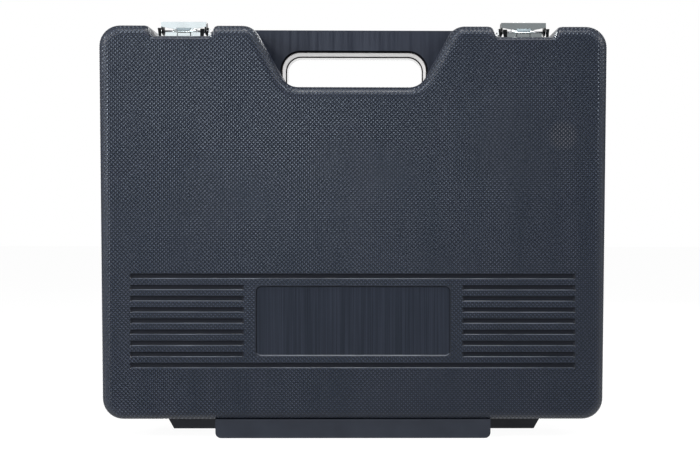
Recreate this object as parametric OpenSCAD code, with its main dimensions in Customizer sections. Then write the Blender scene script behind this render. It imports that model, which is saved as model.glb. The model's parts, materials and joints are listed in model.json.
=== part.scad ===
// Socket wrench set in a hard carrying case, standing upright and closed.
// +Z is up, +X is to the right, and the lid's outer face looks towards -Y.
// The parting plane of the two halves is y = 0 and the floor is z = 0.

/* [Case] */
// Width of the closed case at its top
case_w = 399; // [396:1:440]
// How much further in each side of the case is at the bottom
side_draft = 2.9; // [0:0.1:4]
// Height of the two shells, without the feet
case_h = 309; // [307:1:350]
// Depth of each half, from the parting plane to its outer face
half_depth = 42; // [41.5:0.5:50]
// Wall thickness of both shells
wall = 2.5; // [2:0.1:3]
// Radius of the four outer corners
corner_r = 16; // [12:0.5:24]
// Radius that rounds the outer face into the sides
edge_r = 8.5; // [6:0.5:10]
// Gap between the closed halves
parting_gap = 0.3; // [0.2:0.05:0.6]

/* [Handle] */
// Width of the handle notch across its rim
notch_rim_w = 158; // [150:1:172]
// Width of the handle notch across its floor
notch_floor_w = 105; // [98:1:114]
// Depth of the handle notch
notch_depth = 48; // [42:1:50]
// Radius of the notch's rims
notch_rim_r = 14; // [11:0.5:18]
// Radius of the notch's floor corners
notch_floor_r = 15; // [8:0.5:18]
// Thickness of the handle bar, front to back
handle_t = 30; // [22:1:34]
// Height of the handle bar
handle_h = 18; // [14:0.5:22]
// Height of the rounding at the ends of the hand slot
slot_r = 14.5; // [10:0.5:18]
// Width of the hand slot
slot_w = 115.5; // [108:0.5:122]
// Distance from the case's top down to the handle's top
handle_drop = 0; // [0:0.5:4]
// Diameter of the handle screws' shanks
handle_screw_d = 4; // [3:0.5:5]

/* [Grooves and panel] */
// Number of groove rows on the lid
groove_rows = 9; // [5:1:10]
// Distance between groove rows
groove_pitch = 8.75; // [7:0.25:9.5]
// Height of one groove
groove_h = 4.2; // [3:0.1:5.5]
// Depth of a groove
groove_depth = 1.2; // [0.6:0.1:1.4]
// Length of the first and last groove
groove_w = 348; // [320:1:356]
// Height of the lowest groove above the shells' bottom
groove_z = 42.5; // [30:0.5:80]
// Width of the bare panel
panel_w = 152; // [110:1:160]
// Height of the bare panel
panel_h = 54.2; // [30:0.1:55]
// Gap between the panel and the grooves beside it
panel_gap = 10; // [6:0.5:16]
// Depth of the panel's recess
panel_depth = 1; // [0.5:0.1:1.3]

/* [Hinge and feet] */
// Height of the feet
foot_h = 15; // [14:0.5:18]
// Width of the lid's foot
lid_foot_w = 216.5; // [200:0.5:220]
// Thickness of every foot, front to back
foot_t = 14; // [8:0.5:16]
// Distance from a half's outer face back to its foot
foot_setback = 4; // [3:0.5:8]
// Width over the base's two feet, at the floor
base_feet_w = 295; // [280:1:310]
// Slope of the base feet's outer ends, sideways over their height
base_foot_flare = 8.5; // [4:0.5:12]
// Diameter of the hinge rod
hinge_rod_d = 4; // [3:0.25:5]
// Number of hinge knuckles, shared out between the halves
knuckles = 7; // [5:2:9]
// Width over the hinge's knuckles
hinge_w = 192; // [160:1:196]
// Gap between neighbouring knuckles
knuckle_gap = 0.5; // [0.3:0.1:1]
// Play between the hinge rod and its knuckles, on the radius
rod_play = 0.05; // [0.03:0.01:0.09]

/* [Latches] */
// Distance of each latch from the case's middle
latch_x = 135; // [132:1:145]
// Width of a latch over its ears
latch_w = 41; // [38:0.5:42]
// Thickness of the latches' sheet metal
sheet = 1.2; // [1:0.1:1.4]
// Depth of a latch's notch in the top of the case
latch_notch_depth = 8; // [7.5:0.5:9]
// Room between a latch and each end of its notch's floor
latch_room = 2; // [1.5:0.1:3]
// How far each side of a latch's notch leans out
latch_notch_lean = 3.6; // [2:0.1:5]
// Radius of a latch notch's corners
latch_notch_r = 3; // [2:0.5:3.5]
// Radius that rounds the outer face into a latch's notch
latch_edge_r = 3.5; // [2:0.5:4]
// Diameter of the levers' pivot pins
pivot_d = 2.5; // [2:0.1:2.8]
// Diameter of the hooks' pins
hook_pin_d = 2; // [1.6:0.1:2.2]
// Distance between a lever's two pins
latch_throw = 8; // [7:0.1:8.2]
// Length of a lever ahead of its pivot
lever_reach = 15.5; // [15:0.1:17]
// Height of the levers above the case's top
lever_rise = 4.5; // [4.2:0.1:5]
// Height of a lever's front lip in its middle
lip_h = 7; // [6:0.1:7.4]
// Diameter of the latch rivets
rivet_d = 3; // [2.5:0.25:3.5]

/* [Tray and tools] */
// Depth from the parting plane to the lid liner
liner_y = 6; // [5.5:0.25:8]
// Thickness of the tray's and liner's sheet
tray_t = 2; // [1.6:0.1:2.4]
// Gap between the tray or liner and the shell around it
tray_gap = 0.5; // [0.4:0.1:1]
// Height of the lip around the tray's floor
tray_lip = 5; // [3:0.5:6]
// Thickness of the tray's saddles
saddle_t = 3; // [2:0.5:4]
// Depth from the parting plane to the middle of a tool that lies flat
lie_y = 16; // [15.5:0.5:16.5]
// Play between a tool and its saddle or post, on the radius
pocket_play = 0.4; // [0.3:0.05:0.7]
// Distance from the tray's left edge to the first tool of a row
row_start = 8.5; // [7:0.5:12]
// Sizes of the half-inch sockets, across the flats
half_sizes = [10, 12, 13, 14, 15, 17, 19, 22, 24, 27]; // [8:1:27]
// Length of the half-inch sockets
half_socket_l = 38; // [34:0.5:40]
// Least diameter of a half-inch socket's drive end
half_socket_d = 22; // [20:0.5:23]
// Space left free at each end of the row of half-inch sockets
half_row_margin = 19.2; // [16:0.1:30]
// Half-inch drive square
half_square = 12.7; // [12:0.1:13.2]
// Sizes of the quarter-inch sockets, across the flats
quarter_sizes = [4, 5, 6, 7, 8, 9, 10, 11, 12, 13]; // [4:1:13]
// Length of the quarter-inch sockets
quarter_socket_l = 25; // [22:0.5:26]
// Least diameter of a quarter-inch socket
quarter_socket_d = 12; // [11:0.5:13]
// Quarter-inch drive square
quarter_square = 6.35; // [6:0.05:6.6]
// Sizes of the two spark plug sockets, across the flats
plug_sizes = [21, 16]; // [14:1:21]
// Length of the spark plug sockets
plug_socket_l = 66; // [60:1:70]
// Length of the half-inch ratchet
half_ratchet_l = 248; // [230:1:252]
// Length of the quarter-inch ratchet
quarter_ratchet_l = 148; // [135:1:155]
// Length of the long half-inch extension bar
long_bar_l = 250; // [230:1:254]
// Length of the short half-inch extension bar
short_bar_l = 125; // [100:1:128]
// Length of the quarter-inch extension bar
quarter_bar_l = 68; // [50:1:70]
// Space between the T-bar and the short spark plug socket
tbar_gap = 14; // [10:0.5:20]
// Space between the short spark plug socket and the tray's right end
plug_margin = 18.7; // [12:0.1:24]
// Length of the spinner handle
spinner_l = 150; // [130:1:152]
// Number of screwdriver bits
bits = 8; // [4:1:9]
// Length of a screwdriver bit
bit_l = 25; // [22:0.5:28]

/* [Hidden] */
$fn = 48;
EPS = 0.01;

half_w = case_w / 2;
bottom_z = foot_h;
top_z = foot_h + case_h;
latch_floor_z = top_z - latch_notch_depth;
latch_notch_w = latch_w + 2 * latch_room;
notch_floor_z = top_z - notch_depth;
arc_steps = 6;

half_nodes = [for (s = half_sizes) str("half_socket_", s, "mm")];

// ---------------------------------------------------------------- outline

function left_of(u) = [-u[1], u[0]];
function turned(p, angle) =
    [p[0] * cos(angle) - p[1] * sin(angle), p[0] * sin(angle) + p[1] * cos(angle)];
function heading(a, b) = (b - a) / norm(b - a);
function cross_2(u, v) = u[0] * v[1] - u[1] * v[0];

// Corner b of the path a-b-c, moved inwards by p from edge ab and by q from edge bc
function inset_corner(a, b, c, p, q) =
    let (u = heading(a, b), v = heading(b, c))
    b + (p * v - q * u) / cross_2(u, v);

// Arc of radius r that rounds corner b of the path a-b-c
function corner_arc(a, b, c, r) =
    let (u = heading(a, b), v = heading(b, c),
         turn = atan2(cross_2(u, v), u * v),
         side = sign(turn),
         middle = b - r * tan(abs(turn) / 2) * u + side * r * left_of(u))
    [for (k = [0 : arc_steps]) middle + turned(-side * r * left_of(u), turn * k / arc_steps)];

// A closed path with each corner rounded by its own radius
function rounded(path, radii) =
    let (n = len(path))
    [for (i = [0 : n - 1])
        each corner_arc(path[(i + n - 1) % n], path[i], path[(i + 1) % n], radii[i])];

function latch_rim_w() = latch_notch_w + 2 * latch_notch_lean;

// Top of the case over one latch, from right to left
function latch_path(x) =
    [[x + latch_rim_w() / 2, top_z], [x + latch_notch_w / 2, latch_floor_z],
     [x - latch_notch_w / 2, latch_floor_z], [x - latch_rim_w() / 2, top_z]];

function case_path() = concat(
    [[-half_w + side_draft, bottom_z], [half_w - side_draft, bottom_z], [half_w, top_z]],
    latch_path(latch_x),
    [[notch_rim_w / 2, top_z], [notch_floor_w / 2, notch_floor_z],
     [-notch_floor_w / 2, notch_floor_z], [-notch_rim_w / 2, top_z]],
    latch_path(-latch_x),
    [[-half_w, top_z]]);

// True for the three edges of each latch notch
function is_latch_edge(i) = (i >= 3 && i <= 5) || (i >= 11 && i <= 13);

// Outline of a half, moved inwards by d, and by latch_d along the latch notches
function outline(d, latch_d) =
    let (path = case_path(), n = len(path),
         move = [for (i = [0 : n - 1]) is_latch_edge(i) ? latch_d : d],
         moved = [for (i = [0 : n - 1])
             inset_corner(path[(i + n - 1) % n], path[i], path[(i + 1) % n],
                          move[(i + n - 1) % n], move[i])],
         rim = max(latch_notch_r - latch_d, 0.3),
         latch_radii = [rim, latch_notch_r, latch_notch_r, rim],
         corner = corner_r - d,
         radii = concat([corner, corner, corner], latch_radii,
                        [notch_rim_r - d, notch_floor_r + d, notch_floor_r + d, notch_rim_r - d],
                        latch_radii, [corner]))
    rounded(moved, radii);

// Rings [depth, d, latch_d] of a half's surface, inset from its outer skin
function rings(start, inset) =
    let (r = edge_r - inset, steps = 6)
    concat([[start, inset, inset]],
           [for (k = [0 : steps])
               let (d = inset + r * (1 - cos(90 * k / steps)))
               [half_depth - edge_r + r * sin(90 * k / steps), d,
                inset + (d - inset) * latch_edge_r / edge_r]]);

// ---------------------------------------------------------------- helpers

// Skin through rings of the case's outline
module loft(ring_list) {
    paths = [for (r = ring_list) outline(r[1], r[2])];
    n = len(paths[0]);
    m = len(ring_list);
    points = [for (j = [0 : m - 1]) for (p = paths[j]) [p[0], ring_list[j][0], p[1]]];
    near = [[for (i = [n - 1 : -1 : 0]) i]];
    far = [[for (i = [0 : n - 1]) (m - 1) * n + i]];
    skin = [for (j = [0 : m - 2]) for (i = [0 : n - 1])
        let (k = (i + 1) % n)
        each [[j * n + i, j * n + k, (j + 1) * n + k], [j * n + i, (j + 1) * n + k, (j + 1) * n + i]]];
    polyhedron(points, concat(near, skin, far), convexity = 10);
}

// Plate with an X-Z outline, from depth y0 to depth y1
module plate_y(path, y0, y1) {
    translate([0, y1, 0]) rotate([90, 0, 0]) linear_extrude(y1 - y0) polygon(path);
}

// Bar with a Y-Z outline, from x0 to x1
module bar_x(path, x0, x1) {
    translate([x0, 0, 0]) rotate([90, 0, 90]) linear_extrude(x1 - x0) polygon(path);
}

// Round rod along X, from x0 to x1
module rod_x(x0, x1, y, z, r, r2 = 0) {
    translate([x0, y, z]) rotate([0, 90, 0]) cylinder(h = x1 - x0, r1 = r, r2 = r2 > 0 ? r2 : r);
}

// Round rod along Y, from y0 to y1
module rod_y(x, y0, y1, z, r, r2 = 0) {
    translate([x, y0, z]) rotate([-90, 0, 0]) cylinder(h = y1 - y0, r1 = r, r2 = r2 > 0 ? r2 : r);
}

// Round rod along Z, from z0 to z1
module rod_z(x, y, z0, z1, r) {
    translate([x, y, z0]) cylinder(h = z1 - z0, r = r);
}

// Block between two opposite corners
module block(low, high) {
    translate(low) cube(high - low);
}

// ---------------------------------------------------------------- case

function hinge_z() = foot_h / 2 - 0.15;
function knuckle_r() = hinge_z() - 0.35;
function knuckle_w() = hinge_w / knuckles;
function foot_top() = foot_h + 0.8 * wall;

function lid_foot_path() =
    let (w = lid_foot_w / 2, r = 4.5)
    rounded([[-w, 0], [w, 0], [w, foot_top()], [-w, foot_top()]], [r, r, EPS, EPS]);

// Outline of one of the base's feet, on the right
function base_foot_path() =
    let (inner = lid_foot_w / 2 + 3, outer = base_feet_w / 2,
         rise = base_foot_flare / foot_h)
    [[inner, 0], [outer, 0], [outer + rise * foot_top(), foot_top()], [inner, foot_top()]];

// Knuckles of one half: parity 0 for the base, 1 for the lid
module knuckle_row(parity, toward) {
    for (i = [parity : 2 : knuckles - 1]) {
        x0 = -hinge_w / 2 + i * knuckle_w() + knuckle_gap / 2;
        x1 = x0 + knuckle_w() - knuckle_gap;
        rod_x(x0, x1, 0, hinge_z(), knuckle_r());
        web = [[0, hinge_z() - knuckle_r()], [toward * 12, foot_h / 2],
               [toward * 12, foot_top()], [toward * 0.5, foot_top()], [0, hinge_z()]];
        bar_x(web, x0, x1);
    }
}

module rod_hole() {
    rod_x(-hinge_w / 2 - 1, hinge_w / 2 + 1, 0, hinge_z(), hinge_rod_d / 2 + rod_play);
}

module half_shell() {
    difference() {
        loft(rings(parting_gap / 2, 0));
        loft(rings(-1, wall));
    }
}

function groove_r() = (pow(groove_h / 2, 2) + pow(groove_depth, 2)) / (2 * groove_depth);
function groove_row_z(i) = bottom_z + groove_z + i * groove_pitch;

module groove(z, x0, x1) {
    rod_x(x0, x1, -half_depth - groove_r() + groove_depth, z, groove_r());
}

module panel_recess() {
    w = panel_w / 2;
    z = bottom_z + groove_z + (groove_rows - 1) / 2 * groove_pitch;
    h = panel_h / 2;
    r = 4;
    path = rounded([[-w, z - h], [w, z - h], [w, z + h], [-w, z + h]], [r, r, r, r]);
    plate_y(path, -half_depth - 1, -half_depth + panel_depth);
}

module grooves() {
    inner = panel_w / 2 + panel_gap;
    for (i = [0 : groove_rows - 1])
        if (i == 0 || i == groove_rows - 1)
            groove(groove_row_z(i), -groove_w / 2, groove_w / 2);
        else {
            groove(groove_row_z(i), -groove_w / 2, -inner);
            groove(groove_row_z(i), inner, groove_w / 2);
        }
}

function rivet_x() = 9;
bracket_rivet_y = -7.8;
keeper_rivet_y = 12.5;

module rivet_holes(y) {
    for (side = [-1, 1]) for (dx = [-rivet_x(), rivet_x()])
        rod_z(side * latch_x + dx, y, latch_floor_z - 6, latch_floor_z + 6, rivet_d / 2);
}

module lid_shell() {
    color([0.16, 0.17, 0.21])
    difference() {
        union() {
            mirror([0, 1, 0]) half_shell();
            plate_y(lid_foot_path(), -half_depth + foot_setback, -half_depth + foot_setback + foot_t);
            knuckle_row(1, -1);
        }
        rod_hole();
        grooves();
        panel_recess();
        rivet_holes(bracket_rivet_y);
    }
}

// Point on a slope of the handle notch: s runs from the floor (0) to the rim (1)
function slope_point(side, s) =
    [side * (notch_floor_w + (notch_rim_w - notch_floor_w) * s) / 2, notch_floor_z + notch_depth * s];
function slope_angle() = atan2((notch_rim_w - notch_floor_w) / 2, notch_depth);

handle_y0 = 0.6;
handle_screw_s = 0.72;
screw_head_r = 4;
screw_head_h = 2;

// Runs the child along a handle screw: its +Z points from the shell's inside into the handle
module at_handle_screws() {
    for (side = [-1, 1]) for (dy = [-0.27, 0.27]) {
        p = slope_point(side, handle_screw_s);
        translate([p[0], handle_y0 + handle_t * (0.5 + dy), p[1]])
            rotate([0, -side * (90 - slope_angle()), 0])
            translate([0, 0, -wall]) children();
    }
}

module handle_screws() {
    color([0.72, 0.72, 0.74])
    at_handle_screws() {
        translate([0, 0, -screw_head_h]) cylinder(h = screw_head_h, r = screw_head_r);
        cylinder(h = wall + 9, r = handle_screw_d / 2);
    }
}

module base_shell() {
    y0 = half_depth - foot_setback - foot_t;
    color([0.15, 0.16, 0.20])
    difference() {
        union() {
            half_shell();
            plate_y(base_foot_path(), y0, y0 + foot_t);
            mirror([1, 0, 0]) plate_y(base_foot_path(), y0, y0 + foot_t);
            knuckle_row(0, 1);
        }
        rod_hole();
        rivet_holes(keeper_rivet_y);
        at_handle_screws() translate([0, 0, -1]) cylinder(h = wall + 2, r = handle_screw_d / 2);
    }
}

module hinge_rod() {
    color([0.7, 0.71, 0.73])
    rod_x(-hinge_w / 2, hinge_w / 2, 0, hinge_z(), hinge_rod_d / 2);
}

handle_tip = 0.6;
handle_over = 4;

// Handle bar that fills the top of the notch, with the hand slot's round ends cut from its underside
module carry_handle() {
    z1 = top_z - handle_drop;
    // The legs narrow to a tip between the slot and the slopes
    s0 = (slot_w + 2 * handle_tip - notch_floor_w) / (notch_rim_w - notch_floor_w);
    z0 = slope_point(1, s0)[1];
    slot_top = z1 - handle_h;
    rim = notch_rim_w / 2 + handle_over;
    color([0.13, 0.14, 0.17])
    difference() {
        plate_y([slope_point(-1, s0), slope_point(1, s0), [rim, z1], [-rim, z1]], handle_y0, handle_y0 + handle_t);
        plate_y(outline(0, 0), handle_y0 - 1, handle_y0 + handle_t + 1);
        for (side = [-1, 1])
            rod_y(side * (slot_w / 2 - slot_r), -1, handle_y0 + handle_t + 1, slot_top - slot_r, slot_r);
        block([-slot_w / 2 + slot_r, -1, z0 - slot_r], [slot_w / 2 - slot_r, handle_y0 + handle_t + 1, slot_top]);
        block([-slot_w / 2, -1, z0 - slot_r], [slot_w / 2, handle_y0 + handle_t + 1, slot_top - slot_r]);
        at_handle_screws() cylinder(h = wall + 9, r = handle_screw_d / 2);
    }
}

// ---------------------------------------------------------------- latches

pivot_y = -5;
function pivot_z() = latch_floor_z + 6;
function lever_top() = top_z + lever_rise;
function hook_pin_at() = [pivot_y - latch_throw, pivot_z() - 0.8];
function lever_front() = pivot_y - lever_reach;
function lever_w() = latch_w - 2 * sheet - 3;
hook_w = 18;
bracket_front = 2.6;

// One latch's bracket: riveted floor, two ears and two short front plates
module latch_bracket(x) {
    z0 = latch_floor_z;
    y0 = lever_front() + bracket_front;
    ear = [[y0, z0], [-1, z0], [-1, z0 + 4], [pivot_y + 2.5, pivot_z() + 2.2],
           [pivot_y - 2.5, pivot_z() + 2.2], [y0 + 4, z0 + 5], [y0, z0 + 3.4]];
    color([0.78, 0.79, 0.80])
    difference() {
        union() {
            block([x - latch_w / 2, y0, z0], [x + latch_w / 2, -1, z0 + sheet]);
            bar_x(ear, x - latch_w / 2, x - latch_w / 2 + sheet);
            bar_x(ear, x + latch_w / 2 - sheet, x + latch_w / 2);
            for (side = [-1, 1])
                block([x + side * 10.2 - 4.6, y0, z0], [x + side * 10.2 + 4.6, y0 + sheet, z0 + 4.6]);
        }
        rod_x(x - latch_w, x + latch_w, pivot_y, pivot_z(), pivot_d / 2);
        rivet_holes(bracket_rivet_y);
    }
}

module latch_pivot_pin(x) {
    color([0.55, 0.55, 0.57])
    rod_x(x - latch_w / 2 - 0.4, x + latch_w / 2 + 0.4, pivot_y, pivot_z(), pivot_d / 2);
}

// Lever: window plate with side flanges and a front lip whose lower edge sags to its middle
module latch_lever(x) {
    w = lever_w() / 2;
    z1 = lever_top();
    y0 = lever_front();
    p = hook_pin_at();
    flange = [[y0, z1], [y0, z1 - 3.8], [p[0] - 2.4, p[1] - 1.4], [p[0], p[1] - 2.2],
              [pivot_y, pivot_z() - 3.2], [pivot_y + 2.6, pivot_z() - 1.8],
              [pivot_y + 2.6, pivot_z() + 2], [pivot_y, z1]];
    lip = rounded([[x - w, z1 - 3.8], [x - 5.2, z1 - lip_h + 0.9], [x - 5.2, z1 - lip_h],
                   [x + 5.2, z1 - lip_h], [x + 5.2, z1 - lip_h + 0.9], [x + w, z1 - 3.8],
                   [x + w, z1], [x - w, z1]],
                  [0.4, 0.3, 0.3, 0.3, 0.3, 0.4, 2, 2]);
    color([0.85, 0.86, 0.87])
    difference() {
        union() {
            plate_y(lip, y0, y0 + sheet);
            block([x - w + 2, y0, z1 - sheet], [x + w - 2, pivot_y, z1]);
            for (side = [-1, 1])
                bar_x(flange, x + side * (w - sheet / 2) - sheet / 2, x + side * (w - sheet / 2) + sheet / 2);
            for (side = [-1, 1])
                block([x + side * (w - 1.6) - 1.6, y0 + sheet, z1 - sheet],
                      [x + side * (w - 1.6) + 1.6, pivot_y, z1]);
        }
        // Window for the hook, open at the rear
        block([x - hook_w / 2 - 1, y0 + sheet + 2, z1 - 2 * sheet], [x + hook_w / 2 + 1, pivot_y + 4, z1 + 1]);
        rod_x(x - latch_w, x + latch_w, pivot_y, pivot_z(), pivot_d / 2 + rod_play);
        rod_x(x - latch_w, x + latch_w, p[0], p[1], hook_pin_d / 2);
    }
}

module latch_hook_pin(x) {
    w = lever_w() / 2;
    p = hook_pin_at();
    color([0.55, 0.55, 0.57])
    rod_x(x - w, x + w, p[0], p[1], hook_pin_d / 2);
}

keeper_lip_y = 5.2;

// Hook: a plate that curls round its pin and turns down behind the keeper's lip
module latch_hook(x) {
    p = hook_pin_at();
    z1 = pivot_z() + pivot_d / 2 + 0.7;
    nose = keeper_lip_y + sheet + 0.3;
    path = [[p[0], p[1] + 2], [p[0] + 1.6, p[1] - 0.6], [p[0] + 2.4, z1], [nose, z1],
            [nose, latch_floor_z + 2.4], [nose + sheet, latch_floor_z + 2.4], [nose + sheet, z1 + sheet],
            [p[0] + 1, z1 + sheet]];
    color([0.80, 0.81, 0.82])
    difference() {
        union() {
            bar_x(path, x - hook_w / 2, x + hook_w / 2);
            rod_x(x - hook_w / 2, x + hook_w / 2, p[0], p[1], 2.1);
        }
        rod_x(x - hook_w, x + hook_w, p[0], p[1], hook_pin_d / 2 + rod_play);
    }
}

module latch_keeper(x) {
    z0 = latch_floor_z;
    color([0.78, 0.79, 0.80])
    difference() {
        union() {
            block([x - 14, keeper_lip_y, z0], [x + 14, keeper_rivet_y + 3.5, z0 + sheet]);
            block([x - 11, keeper_lip_y, z0], [x + 11, keeper_lip_y + sheet, z0 + 6]);
        }
        rivet_holes(keeper_rivet_y);
    }
}

module rivets(y) {
    color([0.6, 0.6, 0.62])
    for (side = [-1, 1]) for (dx = [-rivet_x(), rivet_x()]) {
        x = side * latch_x + dx;
        rod_z(x, y, latch_floor_z - wall, latch_floor_z + sheet + 0.8, rivet_d / 2);
        difference() {
            rod_z(x, y, latch_floor_z + sheet, latch_floor_z + sheet + 0.8, rivet_d * 0.8);
            rod_z(x, y, latch_floor_z, latch_floor_z + 4, rivet_d / 2 - EPS);
        }
    }
}

// ---------------------------------------------------------------- places of the tools

inner_left = -half_w + side_draft + wall + tray_gap;
inner_w = -2 * inner_left;
back_y = half_depth - wall;
function rail_floor() = back_y - tray_t;
function row_x() = inner_left + row_start;
function row(height) = bottom_z + wall + height;

long_bar_z = row(18);
tbar_z = row(57);
short_bar_z = row(93);
half_row_z = row(132);
quarter_row_z = row(168);
quarter_ratchet_z = row(199);
half_ratchet_z = row(236);

half_end_r = 10.8;
half_rod_r = 6.5;
quarter_end_r = 6;
quarter_rod_r = 3.6;

half_head_r = 19;
half_lobe_r = 12;
half_lobe_x = 19;
half_head_t = 20;
half_shank_r = 7;
half_grip_r = 14;
half_grip_l = 115;
half_ratchet_x = row_x() + half_head_r;

quarter_head_r = 12;
quarter_lobe_r = 8;
quarter_lobe_x = 12.5;
quarter_head_t = 13;
quarter_shank_r = 4.5;
quarter_grip_r = 10;
quarter_grip_l = 78;
quarter_ratchet_x = row_x() + quarter_head_r;

// Outside diameter of a half-inch socket of size s
function half_d(s) = max(half_socket_d, 1.2 * s + 3.6);
function quarter_d(s) = max(quarter_socket_d, 1.38 * s);
function sum(list, n) = n == 0 ? 0 : list[n - 1] + sum(list, n - 1);

half_ds = [for (s = half_sizes) half_d(s)];
half_row_w = inner_w - 2 * half_row_margin;
half_socket_space = (half_row_w - sum(half_ds, len(half_ds))) / (len(half_ds) - 1);
function half_x(i) = -half_row_w / 2 + sum(half_ds, i) + i * half_socket_space + half_ds[i] / 2;

quarter_ds = [for (s = quarter_sizes) quarter_d(s)];
quarter_space = 6;
function quarter_x(i) = row_x() + sum(quarter_ds, i) + i * quarter_space + quarter_ds[i] / 2;
quarter_row_end = quarter_x(len(quarter_ds) - 1) + quarter_ds[len(quarter_ds) - 1] / 2;

bit_r = 3.665;
bit_pitch = 13;
bits_x = quarter_row_end + 28;

plug_ds = [for (s = plug_sizes) 1.15 * s + 3.6];
plug_x = [row_x() + long_bar_l + 22, -inner_left - plug_margin - plug_socket_l];
tbar_l = plug_x[1] - tbar_gap - row_x();
plug_hex_start = 20;
plug_square_depth = 14;
plug_insert_l = 16;
plug_z = [long_bar_z, tbar_z];

spinner_x = row_x() + short_bar_l + 14;
spinner_grip_l = 92;
spinner_r = 13;
quarter_bar_x = spinner_x + spinner_l + 10;

uj_x = half_ratchet_x + half_ratchet_l - half_head_r + 46;
uj_z = half_ratchet_z;
uj_r = 11.5;
uj_l = 34;

tbar_head_r = 11;
tbar_r = half_rod_r - 0.7;
tbar_x = row_x() + tbar_l / 2;

// ---------------------------------------------------------------- tray, rails and liner

half_head_y = lie_y - half_head_t / 2;
quarter_head_y = lie_y - quarter_head_t / 2;
half_stem_y = half_head_y + half_head_t + half_square;

grip_x = half_ratchet_x + half_ratchet_l - half_head_r - half_grip_l;
small_grip_x = quarter_ratchet_x + quarter_ratchet_l - quarter_head_r - quarter_grip_l;
tbar_end = row_x() + tbar_l;

// Saddles for the tools that lie along X: place, height and the tool's radius there
saddles = [
    [row_x() + 55, long_bar_z, half_rod_r],
    [row_x() + long_bar_l / 2, long_bar_z, half_rod_r],
    [row_x() + long_bar_l - 55, long_bar_z, half_rod_r],
    [plug_x[0] + plug_hex_start - 3, plug_z[0], plug_ds[0] / 2],
    [plug_x[0] + plug_hex_start + 13, plug_z[0], plug_ds[0] / 2],
    [row_x() + 8, tbar_z, tbar_r],
    [row_x() + 24, tbar_z, tbar_r],
    [tbar_end - 24, tbar_z, tbar_r],
    [tbar_end - 8, tbar_z, tbar_r],
    [plug_x[1] + plug_hex_start - 3, plug_z[1], plug_ds[1] / 2],
    [plug_x[1] + plug_hex_start + 13, plug_z[1], plug_ds[1] / 2],
    [row_x() + 45, short_bar_z, half_rod_r],
    [row_x() + short_bar_l - 40, short_bar_z, half_rod_r],
    [spinner_x + 15, short_bar_z, spinner_r],
    [spinner_x + 55, short_bar_z, spinner_r],
    [spinner_x + spinner_l - 25, short_bar_z, quarter_rod_r],
    [quarter_bar_x + 26, short_bar_z, quarter_rod_r],
    [quarter_bar_x + quarter_bar_l - 20, short_bar_z, quarter_rod_r],
    [quarter_ratchet_x + 36, quarter_ratchet_z, quarter_shank_r],
    [small_grip_x + quarter_grip_l - 10, quarter_ratchet_z, quarter_grip_r],
    [half_ratchet_x + 60, half_ratchet_z, half_shank_r],
    [half_ratchet_x + 95, half_ratchet_z, half_shank_r],
    [grip_x + half_grip_l - 12, half_ratchet_z, half_grip_r],
    [uj_x - 19, uj_z, uj_r]];

// Upright rib with a round-bottomed notch for a tool that lies along X
module saddle(x, z, r) {
    notch = r + pocket_play;
    side = notch + 2.5;
    difference() {
        block([x - saddle_t / 2, lie_y - 3, z - side], [x + saddle_t / 2, rail_floor(), z + side]);
        rod_x(x - saddle_t, x + saddle_t, lie_y, z, notch);
        block([x - saddle_t, lie_y - 4, z - notch], [x + saddle_t, lie_y, z + notch]);
    }
}

// Strip of a socket rail between two X places, let into the tray's floor
module rail_strip(x0, x1, z, half_h, play) {
    block([x0 - play, rail_floor() - play, z - half_h - play], [x1 + play, back_y + play, z + half_h + play]);
}

module half_rail_strip(play) {
    rail_strip(-half_row_w / 2, half_row_w / 2, half_row_z, 10, play);
}

module quarter_rail_strip(play) {
    rail_strip(row_x(), bits_x + bit_pitch * (bits - 0.5), quarter_row_z, 7, play);
}

module half_socket_rail() {
    s = half_square / 2 - pocket_play;
    color([0.24, 0.25, 0.27])
    union() {
        half_rail_strip(0);
        for (i = [0 : len(half_sizes) - 1])
            block([half_x(i) - s, rail_floor() - 10, half_row_z - s], [half_x(i) + s, back_y, half_row_z + s]);
    }
}

module quarter_socket_rail() {
    s = quarter_square / 2 - pocket_play / 2;
    color([0.24, 0.25, 0.27])
    difference() {
        union() {
            quarter_rail_strip(0);
            for (i = [0 : len(quarter_sizes) - 1])
                block([quarter_x(i) - s, rail_floor() - 5.5, quarter_row_z - s],
                      [quarter_x(i) + s, back_y, quarter_row_z + s]);
            block([bits_x - bit_pitch / 2, rail_floor() - 10, quarter_row_z - 6],
                  [bits_x + bit_pitch * (bits - 0.5), back_y, quarter_row_z + 6]);
        }
        for (i = [0 : bits - 1])
            translate([bits_x + i * bit_pitch, rail_floor(), quarter_row_z]) rotate([90, 0, 0])
                cylinder(h = 11, r = bit_r + pocket_play, $fn = 6);
    }
}

tray_inset = edge_r + tray_gap;
tray_latch_inset = wall + latch_edge_r * (1 - wall / edge_r) + tray_gap;

// Space inside the tray's lip, in front of its floor
module inside_lip() {
    plate_y(outline(tray_inset + tray_t, tray_latch_inset + tray_t), -half_depth, rail_floor());
}

module tool_tray() {
    color([0.30, 0.31, 0.33])
    difference() {
        plate_y(outline(tray_inset, tray_latch_inset), rail_floor() - tray_lip, back_y);
        inside_lip();
        half_rail_strip(pocket_play);
        quarter_rail_strip(pocket_play);
        rod_y(half_ratchet_x, half_head_y, back_y + 1, half_ratchet_z, half_square * 0.8);
    }
}

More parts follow.
